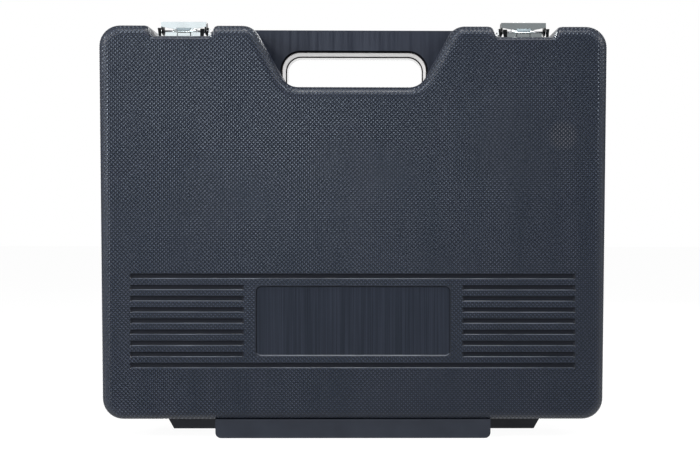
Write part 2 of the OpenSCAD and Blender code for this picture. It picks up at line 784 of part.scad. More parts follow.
// Saddles and the ratchets' pillars, which stand on the tray's floor inside its lip
module tray_saddles() {
    color([0.27, 0.28, 0.30])
    intersection() {
        difference() {
            union() {
                for (s = saddles) saddle(s[0], s[1], s[2]);
                rod_y(half_ratchet_x, half_head_y + half_head_t + pocket_play, rail_floor(), half_ratchet_z,
                      half_head_r - 3);
                rod_y(quarter_ratchet_x, quarter_head_y + quarter_head_t + pocket_play, rail_floor(),
                      quarter_ratchet_z, quarter_head_r - 2.5);
            }
            rod_y(half_ratchet_x, half_head_y, back_y + 1, half_ratchet_z, half_square * 0.8);
            rod_y(quarter_ratchet_x, quarter_head_y, back_y + 1, quarter_ratchet_z, quarter_square * 0.85);
        }
        inside_lip();
    }
}

post_r = 8;

module lid_liner() {
    edge = wall + tray_gap;
    px = half_w - 40;
    color([0.33, 0.34, 0.36])
    union() {
        plate_y(outline(edge, edge), -liner_y - tray_t, -liner_y);
        for (x = [-px, 0, px]) for (z = [bottom_z + 45, top_z - 80])
            rod_y(x, -back_y, -liner_y - tray_t / 2, z, post_r);
    }
}

// ---------------------------------------------------------------- sockets

// Socket on a Y axis, drive end at depth y1 and hex end towards the lid
module socket(x, z, size, d, length, square, y1) {
    y0 = y1 - length;
    hex_d = min(d, 1.3 * size + 2.6);
    hex_depth = length * 0.42;
    square_depth = square * 1.05;
    color([0.80, 0.81, 0.82])
    difference() {
        union() {
            rod_y(x, y0, y1, z, hex_d / 2);
            rod_y(x, y0 + length * 0.45, y0 + length * 0.55, z, hex_d / 2, d / 2);
            rod_y(x, y0 + length * 0.55, y1, z, d / 2);
        }
        translate([x, y0 - 1, z]) rotate([-90, 0, 0]) cylinder(h = hex_depth + 1, d = size / cos(30), $fn = 6);
        rod_y(x, y0 - 1, y1 + 1, z, min(size, square) * 0.42);
        block([x - square / 2, y1 - square_depth, z - square / 2], [x + square / 2, y1 + 1, z + square / 2]);
    }
}

module half_socket(i) {
    socket(half_x(i), half_row_z, half_sizes[i], half_ds[i], half_socket_l, half_square + 0.2, rail_floor());
}

module quarter_sockets() {
    for (i = [0 : len(quarter_sizes) - 1])
        socket(quarter_x(i), quarter_row_z, quarter_sizes[i], quarter_ds[i], quarter_socket_l,
               quarter_square + 0.15, rail_floor());
}

module screwdriver_bits() {
    color([0.45, 0.45, 0.47])
    for (i = [0 : bits - 1]) {
        x = bits_x + i * bit_pitch;
        y0 = rail_floor() - bit_l;
        translate([x, rail_floor() - bit_l * 0.6, quarter_row_z]) rotate([-90, 0, 0])
            cylinder(h = bit_l * 0.6, r = bit_r, $fn = 6);
        rod_y(x, y0 + 2, rail_floor() - bit_l * 0.6 + EPS, quarter_row_z, bit_r * 0.72);
        block([x - bit_r * 0.62, y0, quarter_row_z - 0.6], [x + bit_r * 0.62, y0 + 2 + EPS, quarter_row_z + 0.6]);
    }
}

// Spark plug socket along X, hex end at the right
module plug_socket(i) {
    x0 = plug_x[i];
    x1 = x0 + plug_socket_l;
    r = plug_ds[i] / 2;
    s = (half_square + 0.2) / 2;
    color([0.80, 0.81, 0.82])
    difference() {
        rod_x(x0, x1, lie_y, plug_z[i], r);
        translate([x0 + plug_hex_start, lie_y, plug_z[i]]) rotate([0, 90, 0])
            cylinder(h = plug_socket_l, d = plug_sizes[i] / cos(30), $fn = 6);
        block([x0 - 1, lie_y - s, plug_z[i] - s], [x0 + plug_square_depth, lie_y + s, plug_z[i] + s]);
        rod_x(x0, x1, lie_y, plug_z[i], half_square * 0.42);
    }
}

function plug_insert_x(i) = plug_x[i] + plug_hex_start;

module plug_socket_inserts() {
    color([0.08, 0.08, 0.09])
    for (i = [0 : 1])
        difference() {
            rod_x(plug_insert_x(i), plug_insert_x(i) + plug_insert_l, lie_y, plug_z[i], plug_sizes[i] / 2);
            rod_x(plug_insert_x(i) - 1, plug_insert_x(i) + plug_insert_l + 1, lie_y, plug_z[i],
                  plug_sizes[i] / 2 - 3);
        }
}

// ---------------------------------------------------------------- bars

// Square at the end of a bar along X
module square_x(x0, x1, y, z, side) {
    block([x0, y - side / 2, z - side / 2], [x1, y + side / 2, z + side / 2]);
}

// Extension bar: socket end at the left, drive square at the right
module extension_bar(x0, length, z, end_r, rod_r, square) {
    x1 = x0 + length;
    color([0.80, 0.81, 0.82])
    difference() {
        union() {
            rod_x(x0, x0 + end_r * 2.4, lie_y, z, end_r);
            rod_x(x0 + end_r * 2.4, x0 + end_r * 3, lie_y, z, end_r, rod_r);
            rod_x(x0 + end_r * 3, x1 - square * 2, lie_y, z, rod_r);
            rod_x(x1 - square * 2, x1 - square, lie_y, z, end_r * 0.86);
            square_x(x1 - square, x1, lie_y, z, square);
        }
        square_x(x0 - 1, x0 + square * 1.05, lie_y, z, square + 0.2);
    }
}

module t_bar_rod() {
    color([0.80, 0.81, 0.82])
    rod_x(row_x(), row_x() + tbar_l, lie_y, tbar_z, tbar_r);
}

module t_bar_slider() {
    z0 = tbar_z - tbar_head_r;
    color([0.76, 0.77, 0.79])
    difference() {
        union() {
            rod_z(tbar_x, lie_y, z0, tbar_z + tbar_head_r, tbar_head_r);
            block([tbar_x - half_square / 2, lie_y - half_square / 2, z0 - half_square],
                  [tbar_x + half_square / 2, lie_y + half_square / 2, z0 + EPS]);
        }
        rod_x(tbar_x - 20, tbar_x + 20, lie_y, tbar_z, tbar_r + rod_play);
    }
}

module spinner_shaft() {
    x1 = spinner_x + spinner_l;
    color([0.80, 0.81, 0.82])
    union() {
        rod_x(spinner_x + spinner_grip_l - 40, x1 - quarter_square, lie_y, short_bar_z, quarter_rod_r);
        square_x(x1 - quarter_square - EPS, x1, lie_y, short_bar_z, quarter_square);
    }
}

module spinner_grip() {
    x1 = spinner_x + spinner_grip_l;
    color([0.12, 0.12, 0.14])
    difference() {
        union() {
            rod_x(spinner_x, spinner_x + 6, lie_y, short_bar_z, spinner_r - 3, spinner_r);
            rod_x(spinner_x + 6, x1 - 24, lie_y, short_bar_z, spinner_r);
            rod_x(x1 - 24, x1 - 12, lie_y, short_bar_z, spinner_r, spinner_r - 4);
            rod_x(x1 - 12, x1, lie_y, short_bar_z, spinner_r - 4);
        }
        rod_x(x1 - 40, x1 + 1, lie_y, short_bar_z, quarter_rod_r);
    }
}

// ---------------------------------------------------------------- universal joint

fork_gap = 5.5;
fork_r = 5;
fork_back = 13;
cross_pin_r = 2.4;

// Fork with its ears on Z, reaching from the pivot towards -X
module fork() {
    difference() {
        union() {
            rod_x(-uj_l * 0.72, -fork_back, 0, 0, uj_r);
            for (side = [-1, 1]) intersection() {
                rod_x(-fork_back - 1, fork_r, 0, 0, uj_r);
                union() {
                    block([-fork_back - 0.5, -fork_r, side > 0 ? fork_gap : -uj_r],
                          [0, fork_r, side > 0 ? uj_r : -fork_gap]);
                    rod_z(0, 0, side > 0 ? fork_gap : -uj_r, side > 0 ? uj_r : -fork_gap, fork_r);
                }
            }
        }
        rod_z(0, 0, -uj_r - 1, uj_r + 1, cross_pin_r + rod_play);
    }
}

module universal_joint_drive_end() {
    color([0.78, 0.79, 0.80])
    translate([uj_x, lie_y, uj_z]) union() {
        rotate([90, 0, 0]) fork();
        square_x(-uj_l * 0.72 - half_square, -uj_l * 0.72 + EPS, 0, 0, half_square);
    }
}

module universal_joint_cross() {
    reach = uj_r - 0.8;
    color([0.6, 0.6, 0.62])
    translate([uj_x, lie_y, uj_z]) union() {
        rod_z(0, 0, -reach, reach, cross_pin_r);
        rod_y(0, -reach, reach, 0, cross_pin_r);
        block([-4, -4.4, -4.4], [4, 4.4, 4.4]);
    }
}

module universal_joint_socket_end() {
    s = half_square + 0.2;
    color([0.78, 0.79, 0.80])
    translate([uj_x, lie_y, uj_z]) difference() {
        mirror([1, 0, 0]) union() {
            fork();
            rod_x(-uj_l, -uj_l * 0.72, 0, 0, uj_r);
        }
        square_x(uj_l - half_square, uj_l + 1, 0, 0, s);
    }
}

// ---------------------------------------------------------------- ratchets

gear_share = 0.66;

// Head, neck and shank of a ratchet along X; its drive's axis is at x
module ratchet_body(x, z, head_r, lobe_r, lobe_x, head_t, shank_r, length) {
    y0 = lie_y - head_t / 2;
    y1 = lie_y + head_t / 2;
    gear_r = head_r * gear_share + 0.4;
    lean = asin((head_r - lobe_r) / lobe_x);
    web = [[x + head_r * sin(lean), z - head_r * cos(lean)],
           [x + lobe_x + lobe_r * sin(lean), z - lobe_r * cos(lean)],
           [x + lobe_x + lobe_r * sin(lean), z + lobe_r * cos(lean)],
           [x + head_r * sin(lean), z + head_r * cos(lean)]];
    color([0.80, 0.81, 0.82])
    difference() {
        union() {
            rod_y(x, y0, y1, z, head_r);
            rod_y(x + lobe_x, y0, y1, z, lobe_r);
            plate_y(web, y0, y1);
            rod_x(x + lobe_x + lobe_r * 0.6, x + length - head_r - 2, lie_y, z, shank_r);
        }
        rod_y(x, y0 + 3, y1 + 1, z, gear_r);
        rod_y(x, y1 - 2, y1 + 1, z, gear_r + 2);
        rod_y(x, y0 - 1, y0 + 4, z, head_r * 0.25);
        rod_y(x + lobe_x, y0 - 1, y0 + 4, z, lobe_r * 0.3);
        rod_y(x + lobe_x, y0 + 3, y1 - 3, z, lobe_r * 0.62);
    }
}

module ratchet_cover(x, z, head_r, head_t, square) {
    y1 = lie_y + head_t / 2;
    gear_r = head_r * gear_share + 0.4;
    color([0.70, 0.71, 0.73])
    difference() {
        rod_y(x, y1 - 2, y1, z, gear_r + 2);
        rod_y(x, y1 - 3, y1 + 1, z, square * 0.72 + 0.4);
    }
}

// Toothed drive with its square; bore_r is the push button's bore
module ratchet_drive(x, z, head_r, head_t, square, square_l, teeth, bore_r) {
    y0 = lie_y - head_t / 2 + 3.3;
    y1 = lie_y + head_t / 2;
    r = head_r * gear_share;
    path = [for (i = [0 : 2 * teeth - 1])
        let (a = 180 * i / teeth, q = i % 2 == 0 ? r : r * 0.93)
        [x + q * cos(a), z + q * sin(a)]];
    color([0.72, 0.73, 0.75])
    difference() {
        union() {
            plate_y(path, y0, y1 - 2.3);
            rod_y(x, y1 - 2.4, y1 + 0.6, z, square * 0.72);
            block([x - square / 2, y1, z - square / 2], [x + square / 2, y1 + square_l, z + square / 2]);
        }
        if (bore_r > 0) rod_y(x, y0 - 1, y1 + square_l * 0.65, z, bore_r);
    }
}

// Reversing lever: thumb plate outside, stem and pawl inside the head
module ratchet_reverser(x, z, lobe_r, head_t, reach) {
    y0 = lie_y - head_t / 2;
    y1 = lie_y + head_t / 2;
    color([0.62, 0.63, 0.65])
    union() {
        rod_y(x, y0 - 2.3, y0 - 0.3, z, lobe_r * 0.62);
        block([x, y0 - 2.3, z - lobe_r * 0.22], [x + reach, y0 - 0.3, z + lobe_r * 0.22]);
        rod_y(x, y0 - 0.4, y1 - 5, z, lobe_r * 0.3 - 0.3);
        rod_y(x, y0 + 3.4, y1 - 3.4, z, lobe_r * 0.5);
    }
}

module ratchet_grip(x1, z, shank_r, grip_r, grip_l) {
    x0 = x1 - grip_l;
    color([0.10, 0.10, 0.12])
    difference() {
        union() {
            rod_x(x0, x0 + 10, lie_y, z, shank_r + 2, grip_r - 2);
            rod_x(x0 + 10, x0 + grip_l * 0.45, lie_y, z, grip_r - 2, grip_r - 1);
            rod_x(x0 + grip_l * 0.45, x1 - 8, lie_y, z, grip_r - 1, grip_r);
            rod_x(x1 - 8, x1, lie_y, z, grip_r, grip_r - 3);
        }
        rod_x(x0 - 1, x1 - 2, lie_y, z, shank_r);
    }
}

module half_ratchet_body() {
    ratchet_body(half_ratchet_x, half_ratchet_z, half_head_r, half_lobe_r, half_lobe_x, half_head_t,
                 half_shank_r, half_ratchet_l);
}

module half_ratchet_button() {
    color([0.62, 0.63, 0.65])
    rod_y(half_ratchet_x, half_head_y - 2.6, half_stem_y - half_square * 0.55, half_ratchet_z, 3.2);
}

module quarter_ratchet_body() {
    ratchet_body(quarter_ratchet_x, quarter_ratchet_z, quarter_head_r, quarter_lobe_r, quarter_lobe_x,
                 quarter_head_t, quarter_shank_r, quarter_ratchet_l);
}

// ---------------------------------------------------------------- nodes

lid_shell();
base_shell();
carry_handle();
handle_screws();
hinge_rod();
lid_liner();
tool_tray();
tray_saddles();
half_socket_rail();
quarter_socket_rail();
latch_bracket(-latch_x);  // latch_left_bracket
latch_pivot_pin(-latch_x);  // latch_left_pivot_pin
latch_lever(-latch_x);  // latch_left_lever
latch_hook_pin(-latch_x);  // latch_left_hook_pin
latch_hook(-latch_x);  // latch_left_hook
latch_keeper(-latch_x);  // latch_left_keeper
latch_bracket(latch_x);  // latch_right_bracket
latch_pivot_pin(latch_x);  // latch_right_pivot_pin
latch_lever(latch_x);  // latch_right_lever
latch_hook_pin(latch_x);  // latch_right_hook_pin
latch_hook(latch_x);  // latch_right_hook
latch_keeper(latch_x);  // latch_right_keeper
rivets(bracket_rivet_y);  // bracket_rivets
rivets(keeper_rivet_y);  // keeper_rivets
half_ratchet_body();
ratchet_grip(half_ratchet_x + half_ratchet_l - half_head_r, half_ratchet_z, half_shank_r, half_grip_r,  // half_ratchet_grip
                 half_grip_l);
ratchet_drive(half_ratchet_x, half_ratchet_z, half_head_r, half_head_t, half_square, half_square, 36, 3.5);  // half_ratchet_drive
half_ratchet_button();
ratchet_reverser(half_ratchet_x + half_lobe_x, half_ratchet_z, half_lobe_r, half_head_t, 15);  // half_ratchet_reverser
ratchet_cover(half_ratchet_x, half_ratchet_z, half_head_r, half_head_t, half_square);  // half_ratchet_cover
quarter_ratchet_body();
ratchet_grip(quarter_ratchet_x + quarter_ratchet_l - quarter_head_r, quarter_ratchet_z, quarter_shank_r,  // quarter_ratchet_grip
                 quarter_grip_r, quarter_grip_l);
ratchet_drive(quarter_ratchet_x, quarter_ratchet_z, quarter_head_r, quarter_head_t, quarter_square,  // quarter_ratchet_drive
                  quarter_square, 30, 0);
ratchet_reverser(quarter_ratchet_x + quarter_lobe_x, quarter_ratchet_z, quarter_lobe_r, quarter_head_t, 10);  // quarter_ratchet_reverser
ratchet_cover(quarter_ratchet_x, quarter_ratchet_z, quarter_head_r, quarter_head_t, quarter_square);  // quarter_ratchet_cover
extension_bar(row_x(), long_bar_l, long_bar_z, half_end_r, half_rod_r, half_square);  // long_extension_bar
extension_bar(row_x(), short_bar_l, short_bar_z, half_end_r, half_rod_r, half_square);  // short_extension_bar
extension_bar(quarter_bar_x, quarter_bar_l, short_bar_z, quarter_end_r, quarter_rod_r, quarter_square);  // quarter_extension_bar
t_bar_rod();
t_bar_slider();
universal_joint_drive_end();
universal_joint_cross();
universal_joint_socket_end();
spinner_shaft();
spinner_grip();
plug_socket(0);  // plug_socket_21mm
plug_socket(1);  // plug_socket_16mm
plug_socket_inserts();
quarter_sockets();
screwdriver_bits();
for (i = [0 : len(half_sizes) - 1])
    half_socket(i);
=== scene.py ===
# %% [markdown]
# # A socket wrench set in its carrying case
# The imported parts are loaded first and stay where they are. Every piece made below sits in the same frame,
# in metres, with the floor at z = 0 and the plane in which the two halves of the case meet at y = 0.

# %% Load the fixed frame
import json
import math

import bmesh
import bpy
import numpy as np
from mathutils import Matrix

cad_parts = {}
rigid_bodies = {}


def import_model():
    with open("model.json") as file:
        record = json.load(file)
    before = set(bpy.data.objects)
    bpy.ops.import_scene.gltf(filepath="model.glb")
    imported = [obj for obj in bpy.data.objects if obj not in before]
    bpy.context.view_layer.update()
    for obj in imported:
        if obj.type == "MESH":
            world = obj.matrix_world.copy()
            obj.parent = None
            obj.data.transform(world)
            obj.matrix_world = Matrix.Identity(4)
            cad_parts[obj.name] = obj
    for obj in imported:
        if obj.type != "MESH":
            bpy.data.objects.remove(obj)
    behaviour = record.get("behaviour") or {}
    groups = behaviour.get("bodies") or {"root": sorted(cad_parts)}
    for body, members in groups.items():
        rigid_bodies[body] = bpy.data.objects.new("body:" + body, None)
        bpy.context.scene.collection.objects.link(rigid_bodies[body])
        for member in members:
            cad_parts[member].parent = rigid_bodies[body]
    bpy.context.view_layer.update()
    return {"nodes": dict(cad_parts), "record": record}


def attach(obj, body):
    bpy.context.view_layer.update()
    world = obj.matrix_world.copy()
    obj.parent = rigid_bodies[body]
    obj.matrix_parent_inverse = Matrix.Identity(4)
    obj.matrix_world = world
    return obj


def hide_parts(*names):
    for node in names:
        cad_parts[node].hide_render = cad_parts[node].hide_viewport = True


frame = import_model()
MM = 0.001
body_of = {n: body for body, members in frame["record"]["behaviour"]["bodies"].items() for n in members}
slot_of = {s["node"]: s["material_slot"] for s in frame["record"]["subparts"]}
print(len(body_of), "packed nodes")

# %% [markdown]
# ## Working by hand, in code
# An operator works on what is selected, so each step first clears the selection and then picks one object,
# or the faces, edges or points that lie where they are wanted.

# %% Picking objects and parts of a mesh
def take_none():
    if bpy.context.mode != "OBJECT":
        bpy.ops.object.mode_set(mode="OBJECT")
    bpy.ops.object.select_all(action="DESELECT")


def take(obj):
    take_none()
    obj.select_set(True)
    bpy.context.view_layer.objects.active = obj
    return obj


def pick(obj, kind, test):
    """Opens obj for editing with only the vertices, edges or polygons selected that pass the test."""
    take(obj)
    modes = {"vertices": (True, False, False), "edges": (False, True, False), "polygons": (False, False, True)}
    bpy.context.tool_settings.mesh_select_mode = modes[kind]
    for parts in (obj.data.vertices, obj.data.edges, obj.data.polygons):
        parts.foreach_set("select", np.zeros(len(parts), bool))
    parts = getattr(obj.data, kind)
    parts.foreach_set("select", np.array([bool(test(p)) for p in parts]))
    bpy.ops.object.mode_set(mode="EDIT")


def done():
    bpy.ops.object.mode_set(mode="OBJECT")


def apply_all(obj):
    take(obj)
    for modifier in list(obj.modifiers):
        bpy.ops.object.modifier_apply(modifier=modifier.name)
    return obj


def faces_out(obj):
    take(obj)
    bpy.ops.object.mode_set(mode="EDIT")
    bpy.ops.mesh.select_all(action="SELECT")
    bpy.ops.mesh.remove_doubles(threshold=1e-7)
    bpy.ops.mesh.normals_make_consistent(inside=False)
    done()
    return obj

# %% [markdown]
# A moulded plastic edge or a ground steel edge is never knife-sharp: a narrow bevel catches the light along
# it. Subdivision would round these edges too, but it needs holding loops and many more faces, so a Bevel
# modifier is used. After the bevel, a weighted normal keeps the large flat faces flat.

# %% Softening edges
def smooth(obj, angle=40):
    take(obj)
    bpy.ops.object.shade_smooth_by_angle(angle=math.radians(angle))
    weighted = obj.modifiers.new("flat faces stay flat", "WEIGHTED_NORMAL")
    weighted.keep_sharp = True
    weighted.weight = 80
    return apply_all(obj)


def soften(obj, width, segments=2, angle=30):
    bevel = obj.modifiers.new("soft edges", "BEVEL")
    bevel.width, bevel.segments = width * MM, segments
    bevel.limit_method, bevel.angle_limit = "ANGLE", math.radians(angle)
    bevel.miter_outer = "MITER_ARC"
    apply_all(obj)
    return smooth(obj)

# %% [markdown]
# A finished piece takes its finish, rides on the body of the model that its imported part moves with, and
# hides that imported part. One short call does all three, so that no piece is forgotten.

# %% Handing a finished piece over to its body
def belongs(obj, node, material):
    obj.data.materials.clear()
    obj.data.materials.append(material)
    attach(obj, body_of[node])
    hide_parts(node)
    return obj

# %% [markdown]
# ## The finishes
# The case is dark blue-grey plastic with a fine diamond relief. Its tops are coloured lighter as a painted
# highlight, and the valleys between them darker as painted shade. A finish could be painted on an unwrapped
# mesh, but these pieces have thousands of small faces and no natural seams, so each finish is a small node
# tree on Object coordinates, in metres.

# %% A start for every finish
class Finish:
    """A material with one Principled shader, and short calls for the nodes that vary it."""

    def __init__(self, name, colour, metal=0.0, rough=0.5, gloss=0.5, coat=0.0):
        self.material = bpy.data.materials.new(name)
        self.material.use_nodes = True
        self.nodes, self.links = self.material.node_tree.nodes, self.material.node_tree.links
        self.shader = self.nodes["Principled BSDF"]
        self.shader.inputs["Base Color"].default_value = (*colour, 1)
        self.shader.inputs["Metallic"].default_value = metal
        self.shader.inputs["Roughness"].default_value = rough
        self.shader.inputs["Specular IOR Level"].default_value = gloss
        self.shader.inputs["Coat Weight"].default_value = coat
        self.place = self.nodes.new("ShaderNodeTexCoord").outputs["Object"]

    def noise(self, scale, stretch=(1, 1, 1), detail=3, rough=0.5):
        turn = self.nodes.new("ShaderNodeMapping")
        turn.inputs["Scale"].default_value = stretch
        self.links.new(self.place, turn.inputs["Vector"])
        texture = self.nodes.new("ShaderNodeTexNoise")
        texture.inputs["Scale"].default_value = scale
        texture.inputs["Detail"].default_value = detail
        texture.inputs["Roughness"].default_value = rough
        self.links.new(turn.outputs["Vector"], texture.inputs["Vector"])
        return texture.outputs["Fac"]

    def span(self, value, low, high, start=0.3, end=0.7):
        """Maps a 0-1 pattern between start and end to the range low to high."""
        reach = self.nodes.new("ShaderNodeMapRange")
        for socket, number in zip(("From Min", "From Max", "To Min", "To Max"), (start, end, low, high)):
            reach.inputs[socket].default_value = number
        self.links.new(value, reach.inputs["Value"])
        return reach.outputs["Result"]

    def blend(self, value, first, second):
        mix = self.nodes.new("ShaderNodeMix")
        mix.data_type = "RGBA"
        self.links.new(value, mix.inputs["Factor"])
        for socket, colour in ((6, first), (7, second)):
            if isinstance(colour, bpy.types.NodeSocket):
                self.links.new(colour, mix.inputs[socket])
            else:
                mix.inputs[socket].default_value = (*colour, 1)
        return mix.outputs[2]

    def colour(self, socket):
        self.links.new(socket, self.shader.inputs["Base Color"])

    def mottle(self, pattern, first, second):
        """Colours the surface between two tones, as a 0-1 pattern says."""
        self.colour(self.blend(self.span(pattern, 0, 1), first, second))

    def rough(self, socket):
        self.links.new(socket, self.shader.inputs["Roughness"])

    def near(self, centre, radius, full=0.6):
        """1 round a place, as far as a share of the radius, and falling to 0 at the radius."""
        apart = self.nodes.new("ShaderNodeVectorMath")
        apart.operation = "DISTANCE"
        apart.inputs[1].default_value = centre
        self.links.new(self.place, apart.inputs[0])
        return self.span(apart.outputs["Value"], 1, 0, full * radius, radius)

    def bump(self, value, height, strength=1.0):
        relief = self.nodes.new("ShaderNodeBump")
        relief.inputs["Distance"].default_value = height * MM
        relief.inputs["Strength"].default_value = strength
        self.links.new(value, relief.inputs["Height"])
        self.links.new(relief.outputs["Normal"], self.shader.inputs["Normal"])

# %% [markdown]
# ### Case plastic
# The relief is real geometry, and each of its points carries a value named relief, 0 in a valley and 1 on a
# top. The finish reads it, so tops are shinier, and their colour is lighter as a painted highlight while the
# valleys are near-black as painted shade. Large soft blotches break up the even tone, faint upright streaks
# show where the case has slid in and out of a shelf, and one round scuff has rubbed it pale.

# %% Textured case plastic
SCUFF, SCUFF_RADIUS = (0.1645, -0.042, 0.2385), 0.013
case = Finish("case_plastic", (0.014, 0.018, 0.028), rough=0.36, gloss=0.28)
height = case.nodes.new("ShaderNodeAttribute")
height.attribute_name = "relief"
blotches = case.span(case.noise(9, detail=2), 0, 1)
streaks = case.span(case.noise(1, (55, 55, 5), detail=4), 0, 1, 0.35, 0.65)
lit_tops = case.blend(blotches, (0.025, 0.033, 0.060), (0.040, 0.048, 0.078))
lit_tops = case.blend(streaks, lit_tops, (0.056, 0.064, 0.098))
lit_tops = case.blend(case.near(SCUFF, SCUFF_RADIUS), lit_tops, (0.095, 0.095, 0.115))
# Painted highlight and shade: the colour runs from near-black in the valleys to the lighter tops, by the
# relief value.
case.colour(case.blend(case.span(height.outputs["Fac"], 0, 1, 0.40, 1.0), (0.0012, 0.0022, 0.0050), lit_tops))
case.rough(case.span(height.outputs["Fac"], 0.42, 0.24, 0, 1))
case.shader.inputs["Specular Tint"].default_value = (0.74, 0.86, 1.0, 1)
case.bump(case.noise(1400, detail=2), 0.02, 0.5)
print("case plastic:", len(case.nodes), "nodes")

# %% [markdown]
# ### Smooth plastics
# Where there is no relief, the plastic shows smooth: feet and walls with a fine grain, the bare panel with
# upright lines left by its mould, and the handle polished by hands. One finish with masks could do for all,
# but separate ones are simpler to tune. The grooves and the walls of the panel's recess are coloured
# near-black as painted shade, apart from the lower lip of each, which is coloured lighter as a painted
# highlight. Along the hand slot's front edge a near-black finish is painted shade, and the slot's pale wall
# is a painted reflection of the white floor.

# %% Case, panel, handle and tray plastics
plain = Finish("case_plastic_plain", (0.010, 0.014, 0.023), rough=0.4, gloss=0.35)
plain.mottle(plain.noise(60, detail=5), (0.007, 0.010, 0.018), (0.012, 0.016, 0.026))
plain.rough(plain.span(plain.noise(25, detail=4), 0.30, 0.46))
plain.bump(plain.noise(900, detail=3), 0.03, 0.5)

panel = Finish("panel_lines", (0.012, 0.016, 0.027), rough=0.42, gloss=0.2)
mould_lines = panel.noise(1, (1500, 1500, 12), detail=2)
panel.mottle(mould_lines, (0.004, 0.007, 0.013), (0.014, 0.018, 0.029))
panel.bump(mould_lines, 0.08, 0.7)

handle = Finish("handle_plastic", (0.012, 0.016, 0.026), rough=0.38, gloss=0.42)
drawn = handle.noise(1, (260, 40, 9), detail=3)
handle.mottle(drawn, (0.009, 0.012, 0.021), (0.019, 0.024, 0.038))
handle.rough(handle.span(drawn, 0.34, 0.46))
# Painted shade: near-black for a band along the slot's front edge and for the seam groove in its wall.
edge_shade = Finish("handle_edge_worn", (0.0015, 0.002, 0.003), rough=0.4, gloss=0.06)
edge_shade.rough(edge_shade.span(edge_shade.noise(200), 0.3, 0.5))
# Painted reflection: the pale colour stands in for the white floor reflected in the slot's dark wall.
slot_reflection = Finish("handle_slot_wall", (0.44, 0.41, 0.40), rough=0.12, gloss=1.0, coat=1.0)
slot_reflection.rough(slot_reflection.span(slot_reflection.noise(120), 0.08, 0.2))
# Painted shade: a near-black finish for the grooves and the walls of the panel's recess.
groove_shade = Finish("groove_hollow", (0.0050, 0.0065, 0.0105), rough=0.5, gloss=0.12)
groove_shade.rough(groove_shade.span(groove_shade.noise(150), 0.4, 0.6))
# Painted highlight: a lighter finish, with a random mottle, for the lower lips that look up.
lip_light = Finish("groove_lip", (0.05, 0.058, 0.078), rough=0.28, gloss=0.5)
lip_light.mottle(lip_light.noise(35, detail=4), (0.014, 0.019, 0.030), (0.070, 0.080, 0.102))
# Painted shade: near-black for the latch cheeks and the lever's side faces, which lie in shade.
latch_shade = Finish("latch_blackened", (0.004, 0.005, 0.006), rough=0.35, gloss=0.2)
latch_shade.rough(latch_shade.span(latch_shade.noise(300), 0.25, 0.5))

tray = Finish("tray_plastic", (0.10, 0.105, 0.12), rough=0.5, gloss=0.4)
tray.mottle(tray.noise(30, detail=4), (0.085, 0.090, 0.103), (0.115, 0.120, 0.135))
tray.bump(tray.noise(1800, detail=2), 0.04, 0.6)

# %% [markdown]
# ### Metals and rubber
# Chrome is a metal with a very low roughness. A faint noise in the roughness stands for finger marks and
# handling, and long stretched noise gives the drawn look of the pins and the rod. All the metals but the pin
# steel come from one function, because they differ in tone and roughness alone.

# %% Chrome, steel and rubber
def chrome(name, tone, rough, marks=0.05):
    finish = Finish(name, tone, metal=1.0, rough=rough)
    finish.rough(finish.span(finish.noise(55, detail=4), rough, rough + marks))
    finish.bump(finish.noise(120, detail=2), 0.02, 0.25)
    return finish


latch_chrome = chrome("latch_chrome", (0.80, 0.84, 0.85), 0.06)
latch_satin = chrome("latch_satin", (0.10, 0.12, 0.13), 0.34)
tool_chrome = chrome("tool_chrome", (0.74, 0.75, 0.77), 0.13, 0.08)
tool_steel = chrome("tool_steel", (0.50, 0.50, 0.52), 0.28, 0.10)
bit_steel = chrome("bit_steel", (0.24, 0.24, 0.26), 0.38, 0.12)
pin_steel = Finish("pin_steel", (0.56, 0.56, 0.58), metal=1.0, rough=0.3)
pin_steel.rough(pin_steel.span(pin_steel.noise(1, (30, 1800, 1800), detail=2), 0.22, 0.42))
rubber = Finish("grip_rubber", (0.022, 0.022, 0.025), rough=0.62, gloss=0.3)
rubber.mottle(rubber.noise(70, detail=4), (0.016, 0.016, 0.018), (0.032, 0.032, 0.035))
rubber.bump(rubber.noise(2200, detail=2), 0.05, 0.5)

# %% One finish for each slot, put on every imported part
FINISHES = {slot: finish.material for slot, finish in (
    ("case_plastic", plain), ("handle_plastic", handle), ("tray_plastic", tray),
    ("latch_chrome", latch_chrome), ("tool_chrome", tool_chrome), ("tool_steel", tool_steel),
    ("bit_steel", bit_steel), ("pin_steel", pin_steel), ("grip_rubber", rubber))}
for name, obj in frame["nodes"].items():
    obj.data.materials.clear()
    obj.data.materials.append(FINISHES[slot_of[name]])
print(len(FINISHES), "finishes")

# %% [markdown]
# ## The outline of the case
# Seen from the front, the case is a slightly tapering rectangle with a wide notch for the handle and two
# shallow ones for the latches. It could be drawn as a curve and offset, but an offset curve may change its
# number of points. One function that gives the outline moved inwards by any amount, always with the same
# points in the same order, lets every ring of the case be joined to the next, point by point.

# %% The outline, in millimetres
HALF_W, DRAFT, BOTTOM, TOP, DEPTH = 199.5, 2.9, 15.0, 324.0, 42.0
WALL, CORNER_R, EDGE_R, LATCH_EDGE_R = 2.5, 16.0, 8.5, 3.5
NOTCH_RIM, NOTCH_FLOOR, NOTCH_LOW, NOTCH_RIM_R, NOTCH_FLOOR_R = 79.0, 52.5, 276.0, 14, 15
LATCH_X, LATCH_FLOOR, LATCH_RIM, LATCH_HALF, LATCH_R = 135.0, 316.0, 26.1, 22.5, 3
LATCH_SIDES = (3, 4, 5, 11, 12, 13)


def latch_notch(x):
    return [(x + LATCH_RIM, TOP), (x + LATCH_HALF, LATCH_FLOOR), (x - LATCH_HALF, LATCH_FLOOR),
            (x - LATCH_RIM, TOP)]


